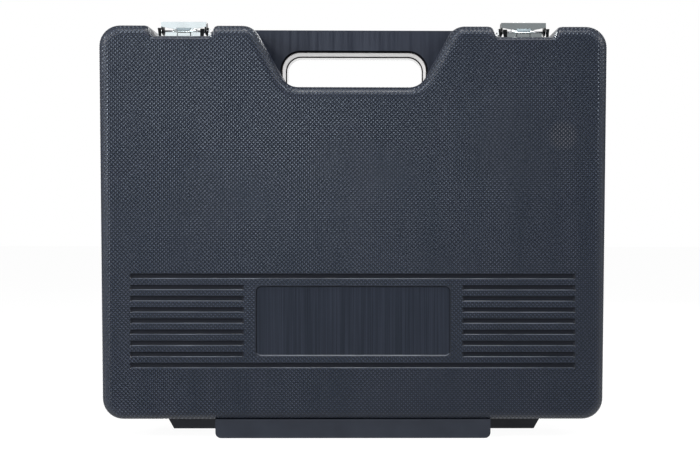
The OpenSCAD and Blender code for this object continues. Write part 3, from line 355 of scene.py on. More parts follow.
def case_path():
    """The sharp corners of the case, to the left of their sides, starting at the lower left."""
    return np.array([
        (-HALF_W + DRAFT, BOTTOM), (HALF_W - DRAFT, BOTTOM), (HALF_W, TOP), *latch_notch(LATCH_X),
        (NOTCH_RIM, TOP), (NOTCH_FLOOR, NOTCH_LOW), (-NOTCH_FLOOR, NOTCH_LOW), (-NOTCH_RIM, TOP),
        *latch_notch(-LATCH_X), (-HALF_W, TOP)])


def rounded(path, radii, steps=8):
    """Rounds each corner of a closed path, whose inside lies to its left."""
    points = []
    for i, (b, r) in enumerate(zip(path, radii)):
        a, c = path[i - 1], path[(i + 1) % len(path)]
        u, v = (b - a) / np.linalg.norm(b - a), (c - b) / np.linalg.norm(c - b)
        turn = math.atan2(u[0] * v[1] - u[1] * v[0], u @ v)
        arm = math.copysign(r, turn) * np.array((-u[1], u[0]))
        middle = b - r * math.tan(abs(turn) / 2) * u + arm
        for k in range(steps + 1):
            s, co = math.sin(turn * k / steps), math.cos(turn * k / steps)
            points.append(middle - np.array((arm[0] * co - arm[1] * s, arm[0] * s + arm[1] * co)))
    return np.array(points)


def outline(d, latch_d, steps=8):
    """The case's outline moved inwards by d, and by latch_d along the latch notches."""
    path = case_path()
    sides = len(path)
    move = [latch_d if i in LATCH_SIDES else d for i in range(sides)]
    moved = []
    for i in range(sides):
        a, b, c = path[i - 1], path[i], path[(i + 1) % sides]
        u, v = (b - a) / np.linalg.norm(b - a), (c - b) / np.linalg.norm(c - b)
        moved.append(b + (move[i - 1] * v - move[i] * u) / (u[0] * v[1] - u[1] * v[0]))
    rim, corner = max(LATCH_R - latch_d, 0.3), CORNER_R - d
    latch = [rim, LATCH_R, LATCH_R, rim]
    notch = [NOTCH_RIM_R - d, NOTCH_FLOOR_R + d, NOTCH_FLOOR_R + d, NOTCH_RIM_R - d]
    radii = [corner] * 3 + latch + notch + latch + [corner]
    return rounded(np.array(moved), radii, steps)


print("outline of", len(outline(0, 0)), "points")

# %% [markdown]
# ## The two halves
# Each half is a deep moulded dish with rounded outer edges. It could be a block, bevelled and hollowed, but
# the notches make the bevels collide. So a ring of points in the shape of the outline is extruded again and
# again: down the inner wall, round the rim and up the outer wall into the rounded edge. Only the first and
# last rings are filled, so the dish is one closed wall.

# %% Lofting a closed wall through rings
def loft(name, rings):
    rings = [np.array(ring, np.float32) * MM for ring in rings]
    take_none()
    bpy.ops.mesh.primitive_circle_add(vertices=len(rings[0]))
    obj = bpy.context.object
    obj.name = obj.data.name = name
    obj.data.vertices.foreach_set("co", rings[0].ravel())
    bpy.context.tool_settings.mesh_select_mode = (False, True, False)
    bpy.ops.object.mode_set(mode="EDIT")
    bpy.ops.mesh.select_all(action="SELECT")
    for before, after in zip(rings, rings[1:]):
        bpy.ops.mesh.extrude_edges_move()
        for v in bmesh.from_edit_mesh(obj.data).verts:
            if v.select:
                v.co = after[np.argmin(np.abs(before - np.array(v.co)).sum(axis=1))]
    bpy.ops.mesh.select_all(action="SELECT")
    bpy.ops.mesh.fill_holes(sides=0)
    done()
    return faces_out(obj)


def standing(path, y):
    """An outline drawn in X and Z, placed at the depth y."""
    path = np.asarray(path, float)
    return np.column_stack((path[:, 0], np.full(len(path), y), path[:, 1]))


def arc(start, end, steps):
    return [math.radians(start + (end - start) * k / steps) for k in range(steps + 1)]


# Across the rim, from inside to outside: how far in, and how far from the plane where the halves meet.
RIM = ((WALL, 0.55), (WALL - 0.15, 0.25), (WALL - 0.4, 0.15), (0.4, 0.15), (0.15, 0.25), (0, 0.55))
FRONT_MARGIN = 0.6


def half_rings():
    """Rings of one half, from the middle of its inner wall round the rim to the front."""
    rings, inner_r, latch = [], EDGE_R - WALL, LATCH_EDGE_R / EDGE_R
    for a in arc(90, 0, 5):
        d = WALL + inner_r * (1 - math.cos(a))
        rings.append(standing(outline(d, WALL + (d - WALL) * latch), DEPTH - EDGE_R + inner_r * math.sin(a)))
    for d, y in RIM:
        rings.append(standing(outline(d, d), y))
    for a in arc(0, 90, 10):
        d = EDGE_R * (1 - math.cos(a))
        rings.append(standing(outline(d, d * latch), DEPTH - EDGE_R + EDGE_R * math.sin(a)))
    return rings + [standing(outline(EDGE_R + FRONT_MARGIN, LATCH_EDGE_R + FRONT_MARGIN), DEPTH)]


base_skin = loft("base_skin", half_rings())
lid_skin = loft("lid_skin", [ring * (1, -1, 1) for ring in half_rings()])
print("each half:", len(base_skin.data.polygons), "faces")

# %% [markdown]
# ## Grooves and the bare panel
# Nine level grooves run across the lid, broken in the middle by a sunken panel. They could be extruded into
# the front face, but its few large faces would have to be cut up first. A mould cuts them as rounded
# channels with slightly eased mouths, so a cutter of just that section is taken from the lid with a Boolean.
# Its ends rise in a short slope instead of a sharp wall.

# %% One cutter for each groove
GROOVE_H, GROOVE_DEPTH, GROOVE_END, GROOVE_FIRST, GROOVE_STEP = 4.2, 1.2, 174.0, 42.5, 8.75
GROOVE_Z = [BOTTOM + GROOVE_FIRST + GROOVE_STEP * i for i in range(9)]
PANEL_X, PANEL_Z, PANEL_HALF_H, PANEL_DEPTH, PANEL_GAP = 76.0, GROOVE_Z[4], 27.1, 1.0, 10.0
MOUTH = ((0.12, -0.02), (0.5, -0.8))


def groove_cutter(z, x0, x1):
    """A level bar with a rounded section and eased mouth, sloping up at both ends."""
    across = np.linspace(-1, 1, 15)
    sag = GROOVE_DEPTH * np.sqrt(1 - across ** 2 * 0.9) - GROOVE_DEPTH * math.sqrt(0.1) * np.abs(across) ** 8
    section = [(-GROOVE_H / 2 - wide, up) for wide, up in reversed(MOUTH)]
    section += [(GROOVE_H / 2 * a, s) for a, s in zip(across, sag)]
    section += [(GROOVE_H / 2 + wide, up) for wide, up in MOUTH]
    rings = [[(x, -DEPTH + (y * depth if y > 0 else y), z + up) for up, y in section]
             for x, depth in ((x0 - 0.4, 0.05), (x0 + 1, 1), (x1 - 1, 1), (x1 + 0.4, 0.05))]
    return loft("groove", rings)


inner = PANEL_X + PANEL_GAP
cutters = [groove_cutter(z, -GROOVE_END, GROOVE_END) for z in (GROOVE_Z[0], GROOVE_Z[-1])]
for z in GROOVE_Z[1:-1]:
    cutters += [groove_cutter(z, -GROOVE_END, -inner), groove_cutter(z, inner, GROOVE_END)]
print(len(cutters), "groove cutters")


# %% The panel's recess, and the cut
def panel_ring(grow, y):
    w, h = PANEL_X + grow, PANEL_HALF_H + grow
    corners = np.array([(-w, PANEL_Z - h), (w, PANEL_Z - h), (w, PANEL_Z + h), (-w, PANEL_Z + h)])
    return standing(rounded(corners, [4 + grow] * 4, 8), y)


recess = [(0.7, -DEPTH - 0.6), (0.35, -DEPTH - 0.02), (0, -DEPTH + 0.35), (-0.2, -DEPTH + PANEL_DEPTH - 0.25),
          (-0.45, -DEPTH + PANEL_DEPTH)]
cutters.append(loft("recess", [panel_ring(grow, y) for grow, y in recess]))


def cut(obj, tools):
    for tool in tools:
        boolean = obj.modifiers.new("cut", "BOOLEAN")
        boolean.operation, boolean.solver, boolean.object = "DIFFERENCE", "EXACT", tool
    apply_all(obj)
    for tool in tools:
        bpy.data.objects.remove(tool)
    return obj


def joined(parts):
    take(parts[0])
    for part in parts[1:]:
        part.select_set(True)
    bpy.ops.object.join()
    return parts[0]


cut(lid_skin, [joined(cutters)])
print("lid with its grooves:", len(lid_skin.data.polygons), "faces")

# %% [markdown]
# ## Feet and knuckles
# The feet and the hinge knuckles are moulded in one piece with each half. They could be modelled anew, but
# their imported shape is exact, so a copy of it is cut off just under the case, its loose triangles are merged
# back into flat faces, and its edges are rounded as a mould rounds them.

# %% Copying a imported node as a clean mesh
def clean_copy(node, name=None, flat_faces=True):
    obj = bpy.data.objects.new(name or node + "_fine", frame["nodes"][node].data.copy())
    bpy.context.collection.objects.link(obj)
    obj.data.materials.clear()
    take(obj)
    if obj.data.has_custom_normals:
        bpy.ops.mesh.customdata_custom_splitnormals_clear()
    bpy.ops.object.mode_set(mode="EDIT")
    bpy.ops.mesh.select_all(action="SELECT")
    bpy.ops.mesh.remove_doubles(threshold=1e-6)
    if flat_faces:
        bpy.ops.mesh.dissolve_limited(angle_limit=math.radians(2))
    done()
    return obj


def feet(node, name):
    obj = clean_copy(node, name)
    take(obj)
    bpy.ops.object.mode_set(mode="EDIT")
    bpy.ops.mesh.select_all(action="SELECT")
    bpy.ops.mesh.bisect(plane_co=(0, 0, (BOTTOM - 0.02) * MM), plane_no=(0, 0, 1), clear_outer=True,
                        use_fill=True)
    done()
    return soften(obj, 0.8, 3)


lid_feet, base_feet = feet("lid_shell", "lid_feet"), feet("base_shell", "base_feet")
print("feet:", len(lid_feet.data.polygons), "and", len(base_feet.data.polygons), "faces")

# %% [markdown]
# The lid's own faces now tell what they are by their place. The floor of the recess is the bare panel. In a
# groove and on the walls of the recess, a face that looks up gets a lighter colour as a painted highlight,
# and all the others a near-black one as painted shade. A second mesh for each finish could do this too, but a
# material for each face keeps the lid in one piece.

# %% Riding on the two bodies, with a finish for each kind of face
PANEL, SHADED_FACE, LIT_FACE = 1, 2, 3


def on_panel(p):
    x, y, z = p.center / MM
    return (p.normal.y < -0.95 and -DEPTH + PANEL_DEPTH - 0.1 < y < -DEPTH + 2
            and abs(x) < PANEL_X + 1 and abs(z - PANEL_Z) < PANEL_HALF_H + 1)


def in_groove(p):
    x, y, z = p.center / MM
    return (0.02 < y + DEPTH < GROOVE_DEPTH + 0.07 and p.normal.y < 0.95
            and abs(x) < GROOVE_END + 0.5 and GROOVE_Z[0] - 3 < z < GROOVE_Z[-1] + 3)


for skin, foot, node in ((lid_skin, lid_feet, "lid_shell"), (base_skin, base_feet, "base_shell")):
    smooth(skin, 35)
    belongs(foot, node, plain.material)
    belongs(skin, node, plain.material)
for finish in (panel, groove_shade, lip_light):
    lid_skin.data.materials.append(finish.material)
for p in lid_skin.data.polygons:
    if on_panel(p):
        p.material_index = PANEL
    elif in_groove(p):
        # Faces that look up get the painted highlight, all others the painted shade.
        p.material_index = LIT_FACE if p.normal.z > 0.45 else SHADED_FACE
print([sum(p.material_index == k for p in lid_skin.data.polygons) for k in range(4)], "faces of each finish")

# %% [markdown]
# ## Diamond relief
# The skin is covered with small four-sided points set corner to corner. A bump pattern would be cheaper, but
# only real points catch the light on their slopes and break the outline. Two of them, made by poking a
# turned square, form a tile that two Array modifiers repeat into a sheet. The sheet is then laid over the
# front and, as a second sheet, round the edge. It is sunk a little, so no gap shows under its rim.

# %% One tile, repeated
PITCH, RELIEF, SUNK = 3.17, 0.36, 0.03


def diamond_sheet(name, columns, rows, width, height):
    """Diamond points in the X-Y plane, peaks at z = 1 and valleys at z = 0, in millimetres."""
    tile = []
    for x, y in ((0, 0), (width / 2, height / 2)):
        take_none()
        bpy.ops.mesh.primitive_circle_add(vertices=4, radius=width / 2, fill_type="NGON", location=(x, y, 0))
        bpy.ops.object.transform_apply()
        tile.append(bpy.context.object)
    sheet = joined(tile)
    sheet.name = sheet.data.name = name
    for v in sheet.data.vertices:
        v.co.y = round(v.co.y / (width / 2)) * height / 2
    pick(sheet, "polygons", lambda p: True)
    bpy.ops.mesh.poke(offset=1.0)
    done()
    for count, step in ((columns, (width, 0, 0)), (rows, (0, height, 0))):
        array = sheet.modifiers.new("repeat", "ARRAY")
        array.use_relative_offset, array.use_constant_offset = False, True
        array.constant_offset_displace, array.count = step, count
    return apply_all(sheet)


def points_of(obj):
    co = np.empty(len(obj.data.vertices) * 3, np.float32)
    obj.data.vertices.foreach_get("co", co)
    return co.reshape(-1, 3).astype(float)


def keep_faces(obj, keep):
    """Keeps the faces whose number passes, and merges the corners that neighbours share."""
    pick(obj, "polygons", lambda p: not keep[p.index])
    bpy.ops.mesh.delete(type="FACE")
    bpy.ops.mesh.select_all(action="SELECT")
    bpy.ops.mesh.remove_doubles(threshold=2e-5)
    done()


def lay(obj, co, relief):
    obj.data.vertices.foreach_set("co", (co * MM).astype(np.float32).ravel())
    heights = obj.data.attributes.new("relief", "FLOAT", "POINT")
    heights.data.foreach_set("value", relief.astype(np.float32))
    obj.data.update()

# %% [markdown]
# ### The front sheet
# A point near the rim has to sit on the rounded edge. A Shrinkwrap would pull it there, but would bunch the
# points up. Its distance from the outline tells how far the edge has already fallen away there, so each
# point is lowered by that much. Around the latch notches the edge is tighter, so a distance there counts
# for more.

# %% How far each point is from the outline
def edge_distance(xz, latch_scale):
    """Distance of each point inside the case's outline, stretched along the latch notches."""
    ring = outline(0, 0, 6)
    ends = np.roll(ring, -1, axis=0)
    over_latch = (ring[:, 1] > LATCH_FLOOR - 1) & (np.abs(np.abs(ring[:, 0]) - LATCH_X) < LATCH_RIM + 0.1)
    scale = np.where(over_latch & np.roll(over_latch, -1), latch_scale, 1.0)
    nearest = np.full(len(xz), 1e9)
    inside = np.zeros(len(xz), bool)
    for a, b, s in zip(ring, ends, scale):
        along = b - a
        t = np.clip(((xz - a) @ along) / (along @ along), 0, 1)
        nearest = np.minimum(nearest, s * np.linalg.norm(xz - a - t[:, None] * along, axis=1))
        crosses = (a[1] > xz[:, 1]) != (b[1] > xz[:, 1])
        where = a[0] + (xz[:, 1] - a[1]) * along[0] / (along[1] if along[1] else 1e-9)
        inside ^= crosses & (xz[:, 0] < where)
    return np.where(inside, nearest, -nearest)


# %% Laying the sheet over the front and the start of the rounded edge
SEAM_D = EDGE_R * (1 - math.cos(math.radians(45)))


def front_sheet(name, side):
    columns, rows = int(2 * HALF_W / PITCH) + 2, int((TOP - BOTTOM) / PITCH) + 2
    sheet = diamond_sheet(name, columns, rows, PITCH, PITCH)
    co = points_of(sheet)
    xz = co[:, :2] + (-PITCH * (columns - 1) / 2, BOTTOM)
    d = edge_distance(xz, EDGE_R / LATCH_EDGE_R)
    slope = EDGE_R - np.clip(d, 0, EDGE_R)
    surface = np.sqrt(EDGE_R ** 2 - slope ** 2)
    relief = co[:, 2]
    stand = (-SUNK + relief * RELIEF) * np.sqrt(1 - (slope / EDGE_R) ** 2)
    lay(sheet, np.column_stack((xz[:, 0], side * (DEPTH - EDGE_R + surface + stand), xz[:, 1])), relief)
    corners = np.array([p.vertices[:] for p in sheet.data.polygons])
    keep_faces(sheet, d[corners].mean(axis=1) > SEAM_D)
    return faces_toward(sheet, side)


def faces_toward(obj, side):
    """Turns an open sheet's faces to the outside, judged by the front."""
    up = sum(p.normal.y * p.area for p in obj.data.polygons)
    if up * side < 0:
        take(obj)
        bpy.ops.object.mode_set(mode="EDIT")
        bpy.ops.mesh.select_all(action="SELECT")
        bpy.ops.mesh.flip_normals()
        done()
    return obj


base_front = front_sheet("base_diamonds_back", 1)
lid_front = front_sheet("lid_diamonds_front", -1)
print("front sheet:", len(lid_front.data.polygons), "faces")

# %% [markdown]
# The grooves and the panel have clean straight borders. A Boolean would need a closed mesh, and the sheet is
# open, so it is cut along each border with Bisect, on the faces near it only, and what lies between two
# borders is deleted.

# %% Clearing the grooves and the panel
def slit(obj, x0, x1, z0, z1):
    """Clears a rectangle of the front sheet, with straight borders."""
    low = np.array((x0 - PITCH, z0 - PITCH)) * MM
    high = np.array((x1 + PITCH, z1 + PITCH)) * MM
    for axis, at in ((2, z0), (2, z1), (0, x0), (0, x1)):
        place, normal = [0.0, 0.0, 0.0], [0.0, 0.0, 0.0]
        place[axis], normal[axis] = at * MM, 1.0
        pick(obj, "polygons", lambda p: low[0] < p.center.x < high[0] and low[1] < p.center.z < high[1]
             and abs(p.center[axis] - at * MM) < PITCH * MM)
        bpy.ops.mesh.bisect(plane_co=place, plane_no=normal)
        done()
    pick(obj, "polygons", lambda p: x0 * MM < p.center.x < x1 * MM and z0 * MM < p.center.z < z1 * MM
         and p.center.y < (2 - DEPTH) * MM)
    bpy.ops.mesh.delete(type="FACE")
    done()


mouth, round_panel = GROOVE_H / 2 + 0.15, 0.7
for z in GROOVE_Z:
    whole = z in (GROOVE_Z[0], GROOVE_Z[-1])
    for x0, x1 in ([(-GROOVE_END, GROOVE_END)] if whole else [(-GROOVE_END, -inner), (inner, GROOVE_END)]):
        slit(lid_front, x0 - 0.5, x1 + 0.5, z - mouth, z + mouth)
slit(lid_front, -PANEL_X - round_panel, PANEL_X + round_panel,
     PANEL_Z - PANEL_HALF_H - round_panel, PANEL_Z + PANEL_HALF_H + round_panel)
print("front sheet, cleared:", len(lid_front.data.polygons), "faces")

# %% [markdown]
# ### The edge sheet
# Round the edge, a sheet is drawn flat first: one side as long as the outline, the other as long as the path
# from the meeting plane up the side wall and half-way round the rounded edge. Each point then finds its
# place on the real wall, which is the outline moved inwards as the edge rounds over.

# %% The wall's section, and a place for every point on it
WALL_L, EDGE_START = DEPTH - EDGE_R, 1.6
EDGE_REACH = WALL_L + EDGE_R * math.radians(45)
BEND = arc(0, 60, 12)[1:]
SECTION_PATH = np.array([0.0, WALL_L] + [WALL_L + EDGE_R * a for a in BEND])
SECTION_Y = np.array([0.0, WALL_L] + [WALL_L + EDGE_R * math.sin(a) for a in BEND])
SECTION_IN = [0.0, 0.0] + [EDGE_R * (1 - math.cos(a)) for a in BEND]
SECTION_LEAN = np.array([0.0, 0.0] + [math.sin(a) for a in BEND])
WALL_RINGS = np.array([outline(d, d * LATCH_EDGE_R / EDGE_R) for d in SECTION_IN])
RING_GAPS = np.linalg.norm(np.roll(WALL_RINGS[0], -1, axis=0) - WALL_RINGS[0], axis=1)
RING_LENGTH = np.concatenate(([0], np.cumsum(RING_GAPS)))


def on_the_edge(round_way, up_way, stand):
    """Where points of the flat sheet come to lie: X and Z together, and Y."""
    ring = WALL_RINGS[0]
    index = np.clip(np.searchsorted(RING_LENGTH, round_way, side="right") - 1, 0, len(ring) - 1)
    share = ((round_way - RING_LENGTH[index]) / RING_GAPS[index])[:, None]
    following = (index + 1) % len(ring)
    level = np.clip(np.searchsorted(SECTION_PATH, up_way) - 1, 0, len(SECTION_PATH) - 2)
    rise = (up_way - SECTION_PATH[level]) / np.diff(SECTION_PATH)[level]

    def between(low, high, part):
        return low * (1 - part) + high * part

    low, high = (between(WALL_RINGS[k, index], WALL_RINGS[k, following], share) for k in (level, level + 1))
    along = ring[following] - ring[index]
    out = np.column_stack((along[:, 1], -along[:, 0])) / np.linalg.norm(along, axis=1)[:, None]
    lean = between(SECTION_LEAN[level], SECTION_LEAN[level + 1], rise)
    xz = between(low, high, rise[:, None]) + out * (stand * np.sqrt(1 - lean ** 2))[:, None]
    return xz, between(SECTION_Y[level], SECTION_Y[level + 1], rise) + stand * lean


# %% Laying a sheet round the edge
def edge_sheet(name, side):
    columns = round(RING_LENGTH[-1] / PITCH)
    rows = round((EDGE_REACH - EDGE_START) / PITCH)
    sheet = diamond_sheet(name, columns, rows, RING_LENGTH[-1] / columns, (EDGE_REACH - EDGE_START) / rows)
    co = points_of(sheet)
    relief = co[:, 2]
    xz, y = on_the_edge(co[:, 0] % RING_LENGTH[-1], EDGE_START + co[:, 1], -SUNK + relief * RELIEF)
    lay(sheet, np.column_stack((xz[:, 0], side * y, xz[:, 1])), relief)
    over_latch = (np.abs(np.abs(xz[:, 0]) - LATCH_X) < LATCH_RIM + 1.5) & (xz[:, 1] > LATCH_FLOOR - 1)
    corners = np.array([p.vertices[:] for p in sheet.data.polygons])
    keep_faces(sheet, ~over_latch[corners].any(axis=1))
    if sum((p.center.x * p.normal.x) * p.area for p in sheet.data.polygons) < 0:
        pick(sheet, "polygons", lambda p: True)
        bpy.ops.mesh.flip_normals()
        done()
    return sheet


base_edge = edge_sheet("base_diamonds_edge", 1)
lid_edge = edge_sheet("lid_diamonds_edge", -1)
print("edge sheet:", len(lid_edge.data.polygons), "faces")

# %% [markdown]
# When the case lies open, flat on its back, the feet of each half reach under the other half and touch its
# bottom wall. A sole that met the points there would crush them, so those places are left smooth. The soles
# could be written down as numbers, but they are found on the feet themselves, and mirrored from front to
# back as the hinge does, so they stay right if the feet change.

# %% Smooth places under the other half's feet
ROUND_SOLE, SMALLEST_SOLE = 2 * MM, 100 * MM ** 2


def clear_under(sheet, foot):
    areas = []
    for sole in foot.data.polygons:
        if sole.center.z < 1 * MM and sole.area > SMALLEST_SOLE:
            corners = [foot.data.vertices[i].co for i in sole.vertices]
            x, y = [c.x for c in corners], [-c.y for c in corners]
            areas.append((min(x) - ROUND_SOLE, max(x) + ROUND_SOLE, min(y) - ROUND_SOLE, max(y) + ROUND_SOLE))
    print("smooth under", len(areas), "feet:", [tuple(round(c / MM) for c in area) for area in areas])
    pick(sheet, "polygons", lambda p: p.center.z < (BOTTOM + 0.1) * MM
         and any(x0 < p.center.x < x1 and y0 < p.center.y < y1 for x0, x1, y0, y1 in areas))
    bpy.ops.mesh.delete(type="FACE")
    done()


clear_under(base_edge, lid_feet)
clear_under(lid_edge, base_feet)
for sheet, node in ((base_front, "base_shell"), (base_edge, "base_shell"), (lid_front, "lid_shell"),
                    (lid_edge, "lid_shell")):
    belongs(sheet, node, case.material)

# %% [markdown]
# ## The handle
# The bridge handle is a smooth bar with a slot for the fingers. The slot's wall is crowned: it leans inwards
# from both faces to a fine groove where the two sides of the mould met. A new bar could be lofted, but the
# packed one has the right outline already, so a copy is cut into bands along its wall with Bisect, and each
# band's rim is moved in by its own amount. The slot's front edge is broadly rounded, so it gets its own
# bevel, and the other edges a fine one. A band along that edge and the seam groove are coloured near-black
# as painted shade, and the rest of the slot's wall is pale as a painted reflection of the white floor.

# %% Where a point lies beside the slot
SLOT_TOP, SLOT_HALF, SLOT_R, HANDLE_Y0, HANDLE_Y1 = 306.0, 57.75, 14.5, 0.6, 30.6


def slot_side(x, z):
    """Where a point lies beside the slot: its direction from the nearest rounding centre, and its distance."""
    ax, az = max(abs(x) - (SLOT_HALF - SLOT_R), 0), max(z - (SLOT_TOP - SLOT_R), 0)
    far = math.hypot(ax, az)
    return math.copysign(ax, x) / max(far, 1e-9), az / max(far, 1e-9), far - SLOT_R


def on_wall(points, away=0.0):
    return all(abs(slot_side(v.co.x / MM, v.co.z / MM)[2] - away) < 0.05 for v in points)


# %% The slot's wall and edges
SEAM_Y0, SEAM_Y1 = 15.0, 16.25
CROWN = {SEAM_Y0: 2.2, 15.25: 1.2, 16.0: 1.2, SEAM_Y1: 3.0, HANDLE_Y1: 3.6}
LEG_Z, LEG_DRAW = 287, 1.8
bar = clean_copy("carry_handle", "handle_bar")
for y in list(CROWN)[:-1]:
    pick(bar, "polygons", lambda p: on_wall([bar.data.vertices[i] for i in p.vertices]))
    bpy.ops.mesh.bisect(plane_co=(0, y * MM, 0), plane_no=(0, 1, 0))
    done()
for v in bar.data.vertices:
    x, z = v.co.x / MM, v.co.z / MM
    lean = [CROWN[y] for y in CROWN if abs(v.co.y / MM - y) < 0.01]
    if lean and on_wall([v]):
        dx, dz, _ = slot_side(x, z)
        v.co.x -= dx * lean[0] * MM
        v.co.z -= (dz + (LEG_DRAW if z < LEG_Z else 0)) * lean[0] * MM
for y, away, width, segments in ((HANDLE_Y0, 0, 1.7, 6), (HANDLE_Y1, -CROWN[HANDLE_Y1], 0.9, 4)):
    points = bar.data.vertices
    pick(bar, "edges", lambda e: on_wall([points[i] for i in e.vertices], away)
         and all(abs(points[i].co.y / MM - y) < 0.01 for i in e.vertices))
    bpy.ops.mesh.bevel(offset=width * MM, segments=segments, affect="EDGES")
    done()
soften(bar, 0.7, 3, 50)
belongs(bar, "carry_handle", handle.material)
for finish in (edge_shade, slot_reflection):
    bar.data.materials.append(finish.material)
EDGE_SHADE, REFLECTION_FACE, EDGE_DEEP, EDGE_WIDE = 1, 2, 1.4, 1.75
# Painted shade on the edge band and the seam groove, painted reflection on the rest of the slot's wall.
for p in bar.data.polygons:
    x, y, z = p.center / MM
    away = slot_side(x, z)[2]
    if y < HANDLE_Y0 + EDGE_DEEP and 0.1 < away < EDGE_WIDE:
        p.material_index = EDGE_SHADE
    elif -3.9 < away < 0.15 and HANDLE_Y0 + 0.3 < y < HANDLE_Y1 - 0.3:
        p.material_index = EDGE_SHADE if SEAM_Y0 < y < SEAM_Y1 - 0.05 else REFLECTION_FACE
print("handle:", len(bar.data.polygons), "faces")

# %% [markdown]
# ## Latches, rivets and pins
# The draw latches are bent and polished sheet, so their edges are rounded by a few tenths of a millimetre.
# Rivet heads and pins are turned: their rims are eased in the same way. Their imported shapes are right, so
# each is copied and bevelled. In the tray, its saddles and the liner, a flat face has many holes, and merged
# into one polygon it would shade wrongly, so those three keep their triangles.

# %% Bright metal with eased edges
MANY_HOLES = ("tool_tray", "tray_saddles", "lid_liner")


def refined(node, width, segments=2, angle=35):
    piece = clean_copy(node, flat_faces=node not in MANY_HOLES)
    return belongs(soften(piece, width, segments, angle), node, FINISHES[slot_of[node]])


for node in frame["nodes"]:
    if node.startswith("latch_"):
        refined(node, 0.12 if node.endswith("pin") else 0.5 if node.endswith("lever") else 0.32, 4)
for node, width in (("bracket_rivets", 0.3), ("keeper_rivets", 0.3), ("hinge_rod", 0.4),
                    ("handle_screws", 0.5)):
    refined(node, width, 3)

# %% [markdown]
# ### Cheeks, middle plates and finger tabs
# At both ends of each bracket a pair of small plates closes the front, coloured near-black as painted shade,
# a bright one stands in the middle, and the lever's lip is bent out into a tab for a finger. They could be
# bent from one sheet, but each is so small that a block, with one end drawn in and its edges rounded, gives
# the same look.

# %% A small plate, and how it joins a latch
PLATE_FRONT, PLATE_BACK = -18.4, -17.5


def plate(name, low, high):
    take_none()
    low, high = np.array(low) * MM, np.array(high) * MM
    bpy.ops.mesh.primitive_cube_add(size=1, location=(low + high) / 2, scale=high - low)
    bpy.ops.object.transform_apply()
    bpy.context.object.name = bpy.context.object.data.name = name
    return bpy.context.object


def dress(piece, body, finish):
    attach(piece, body)
    piece.data.materials.append(finish.material)


# %% The plates of both latches
CHEEK_LOW, CHEEK_DRAW, CHEEK_TOPS = 316.6, 0.9, (323.4, 323.9)
CHEEKS_NEAR_HANDLE = ((12.9, 16.5), (18.0, 19.9))
CHEEKS_NEAR_CORNER = ((15.4, 16.5), (18.0, 20.8))


def cheeks(side, x):
    plates = []
    for out in (-1, 1):
        spans = CHEEKS_NEAR_HANDLE if out * x < 0 else CHEEKS_NEAR_CORNER
        for (x0, x1), top in zip(spans, CHEEK_TOPS):
            ends = sorted((x + out * x0, x + out * x1))
            small = plate("cheek", (ends[0], PLATE_FRONT, CHEEK_LOW), (ends[1], PLATE_BACK, top))
            pick(small, "vertices", lambda v: v.co.z < (CHEEK_LOW + 0.4) * MM
                 and abs(v.co.x / MM - x) > x1 - 0.1)
            bpy.ops.transform.translate(value=(-out * CHEEK_DRAW * MM, 0, 0))
            done()
            plates.append(small)
    piece = joined(plates)
    piece.name = f"latch_{side}_cheeks"
    dress(soften(piece, 0.25, 2), "lid", latch_shade)


def middle_plate(side, x):
    piece = plate(f"latch_{side}_middle", (x - 5.2, -18.3, 316.4), (x + 5.2, PLATE_BACK, 320.3))
    dress(soften(piece, 0.3, 3), "lid", latch_chrome)


def tab(side, x):
    low, lean, narrower = 320.9, 1.5, 0.86
    piece = plate(f"latch_{side}_tab", (x - 6, -21.6, low), (x + 6, -20.4, 323.8))
    pick(piece, "vertices", lambda v: v.co.z < (low + 0.1) * MM)
    bpy.ops.transform.translate(value=(0, -lean * MM, 0))
    bpy.ops.transform.resize(value=(narrower, 1, 1), center_override=(x * MM, 0, 0))
    done()
    dress(soften(piece, 0.45, 3), f"{side}_lever", latch_satin)


LEVER_EAR, LEVER_EAR_TOP = 16.4, 324.5
for side, x in (("left", -LATCH_X), ("right", LATCH_X)):
    cheeks(side, x)
    middle_plate(side, x)
    tab(side, x)
    lever = bpy.data.objects[f"latch_{side}_lever_fine"]
    # Painted shade: the lever's faces beyond its ears take the near-black finish.
    lever.data.materials.append(latch_shade.material)
    for p in lever.data.polygons:
        if abs(p.center.x / MM - x) > LEVER_EAR and p.center.z < LEVER_EAR_TOP * MM:
            p.material_index = 1
print("latches dressed")

# %% [markdown]
# ## Tools, tray and rails
# Sockets and bars are turned and broached, so their rims are chamfered. The tray, its saddles, the rails and
# the liner are moulded, with soft small radii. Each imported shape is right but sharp, so a bevel of its own
# width, in millimetres and found by a word in the part's name, is all that each one needs.

# %% Easing the tools' edges
WIDTHS = {"half_socket": 0.6, "plug_socket": 0.6, "quarter_sockets": 0.35, "extension": 0.5,
          "ratchet_body": 1.2, "ratchet_cover": 0.4, "grip": 1.2, "t_bar": 0.5, "universal": 0.5,
          "spinner": 0.5, "bits": 0.2, "tray": 0.5, "rail": 0.4, "liner": 0.5}
FINEST = 0.25
replaced = {o.name.removesuffix("_fine") for o in bpy.data.objects if o.name.endswith("_fine")}
replaced |= {"lid_shell", "base_shell", "carry_handle"}
tools = sorted(set(frame["nodes"]) - replaced)
for node in tools:
    refined(node, min([w for key, w in WIDTHS.items() if key in node] or [FINEST]), 2)
print(len(tools), "tools and inner pieces eased")

# %% [markdown]
# ## Floor, background and light
# The floor and the world are white to the camera and in reflections, while the light they throw on the object
# is softer, so pale and dark surfaces both keep their tone. More lamp light on the floor would make it white
# too, but would wash out the case. The floor shows the object's shadow.

# %% The white room
ROOM_LIGHT, FLOOR_GLOW, FLOOR_SHARE = 0.20, 1.07, 0.9


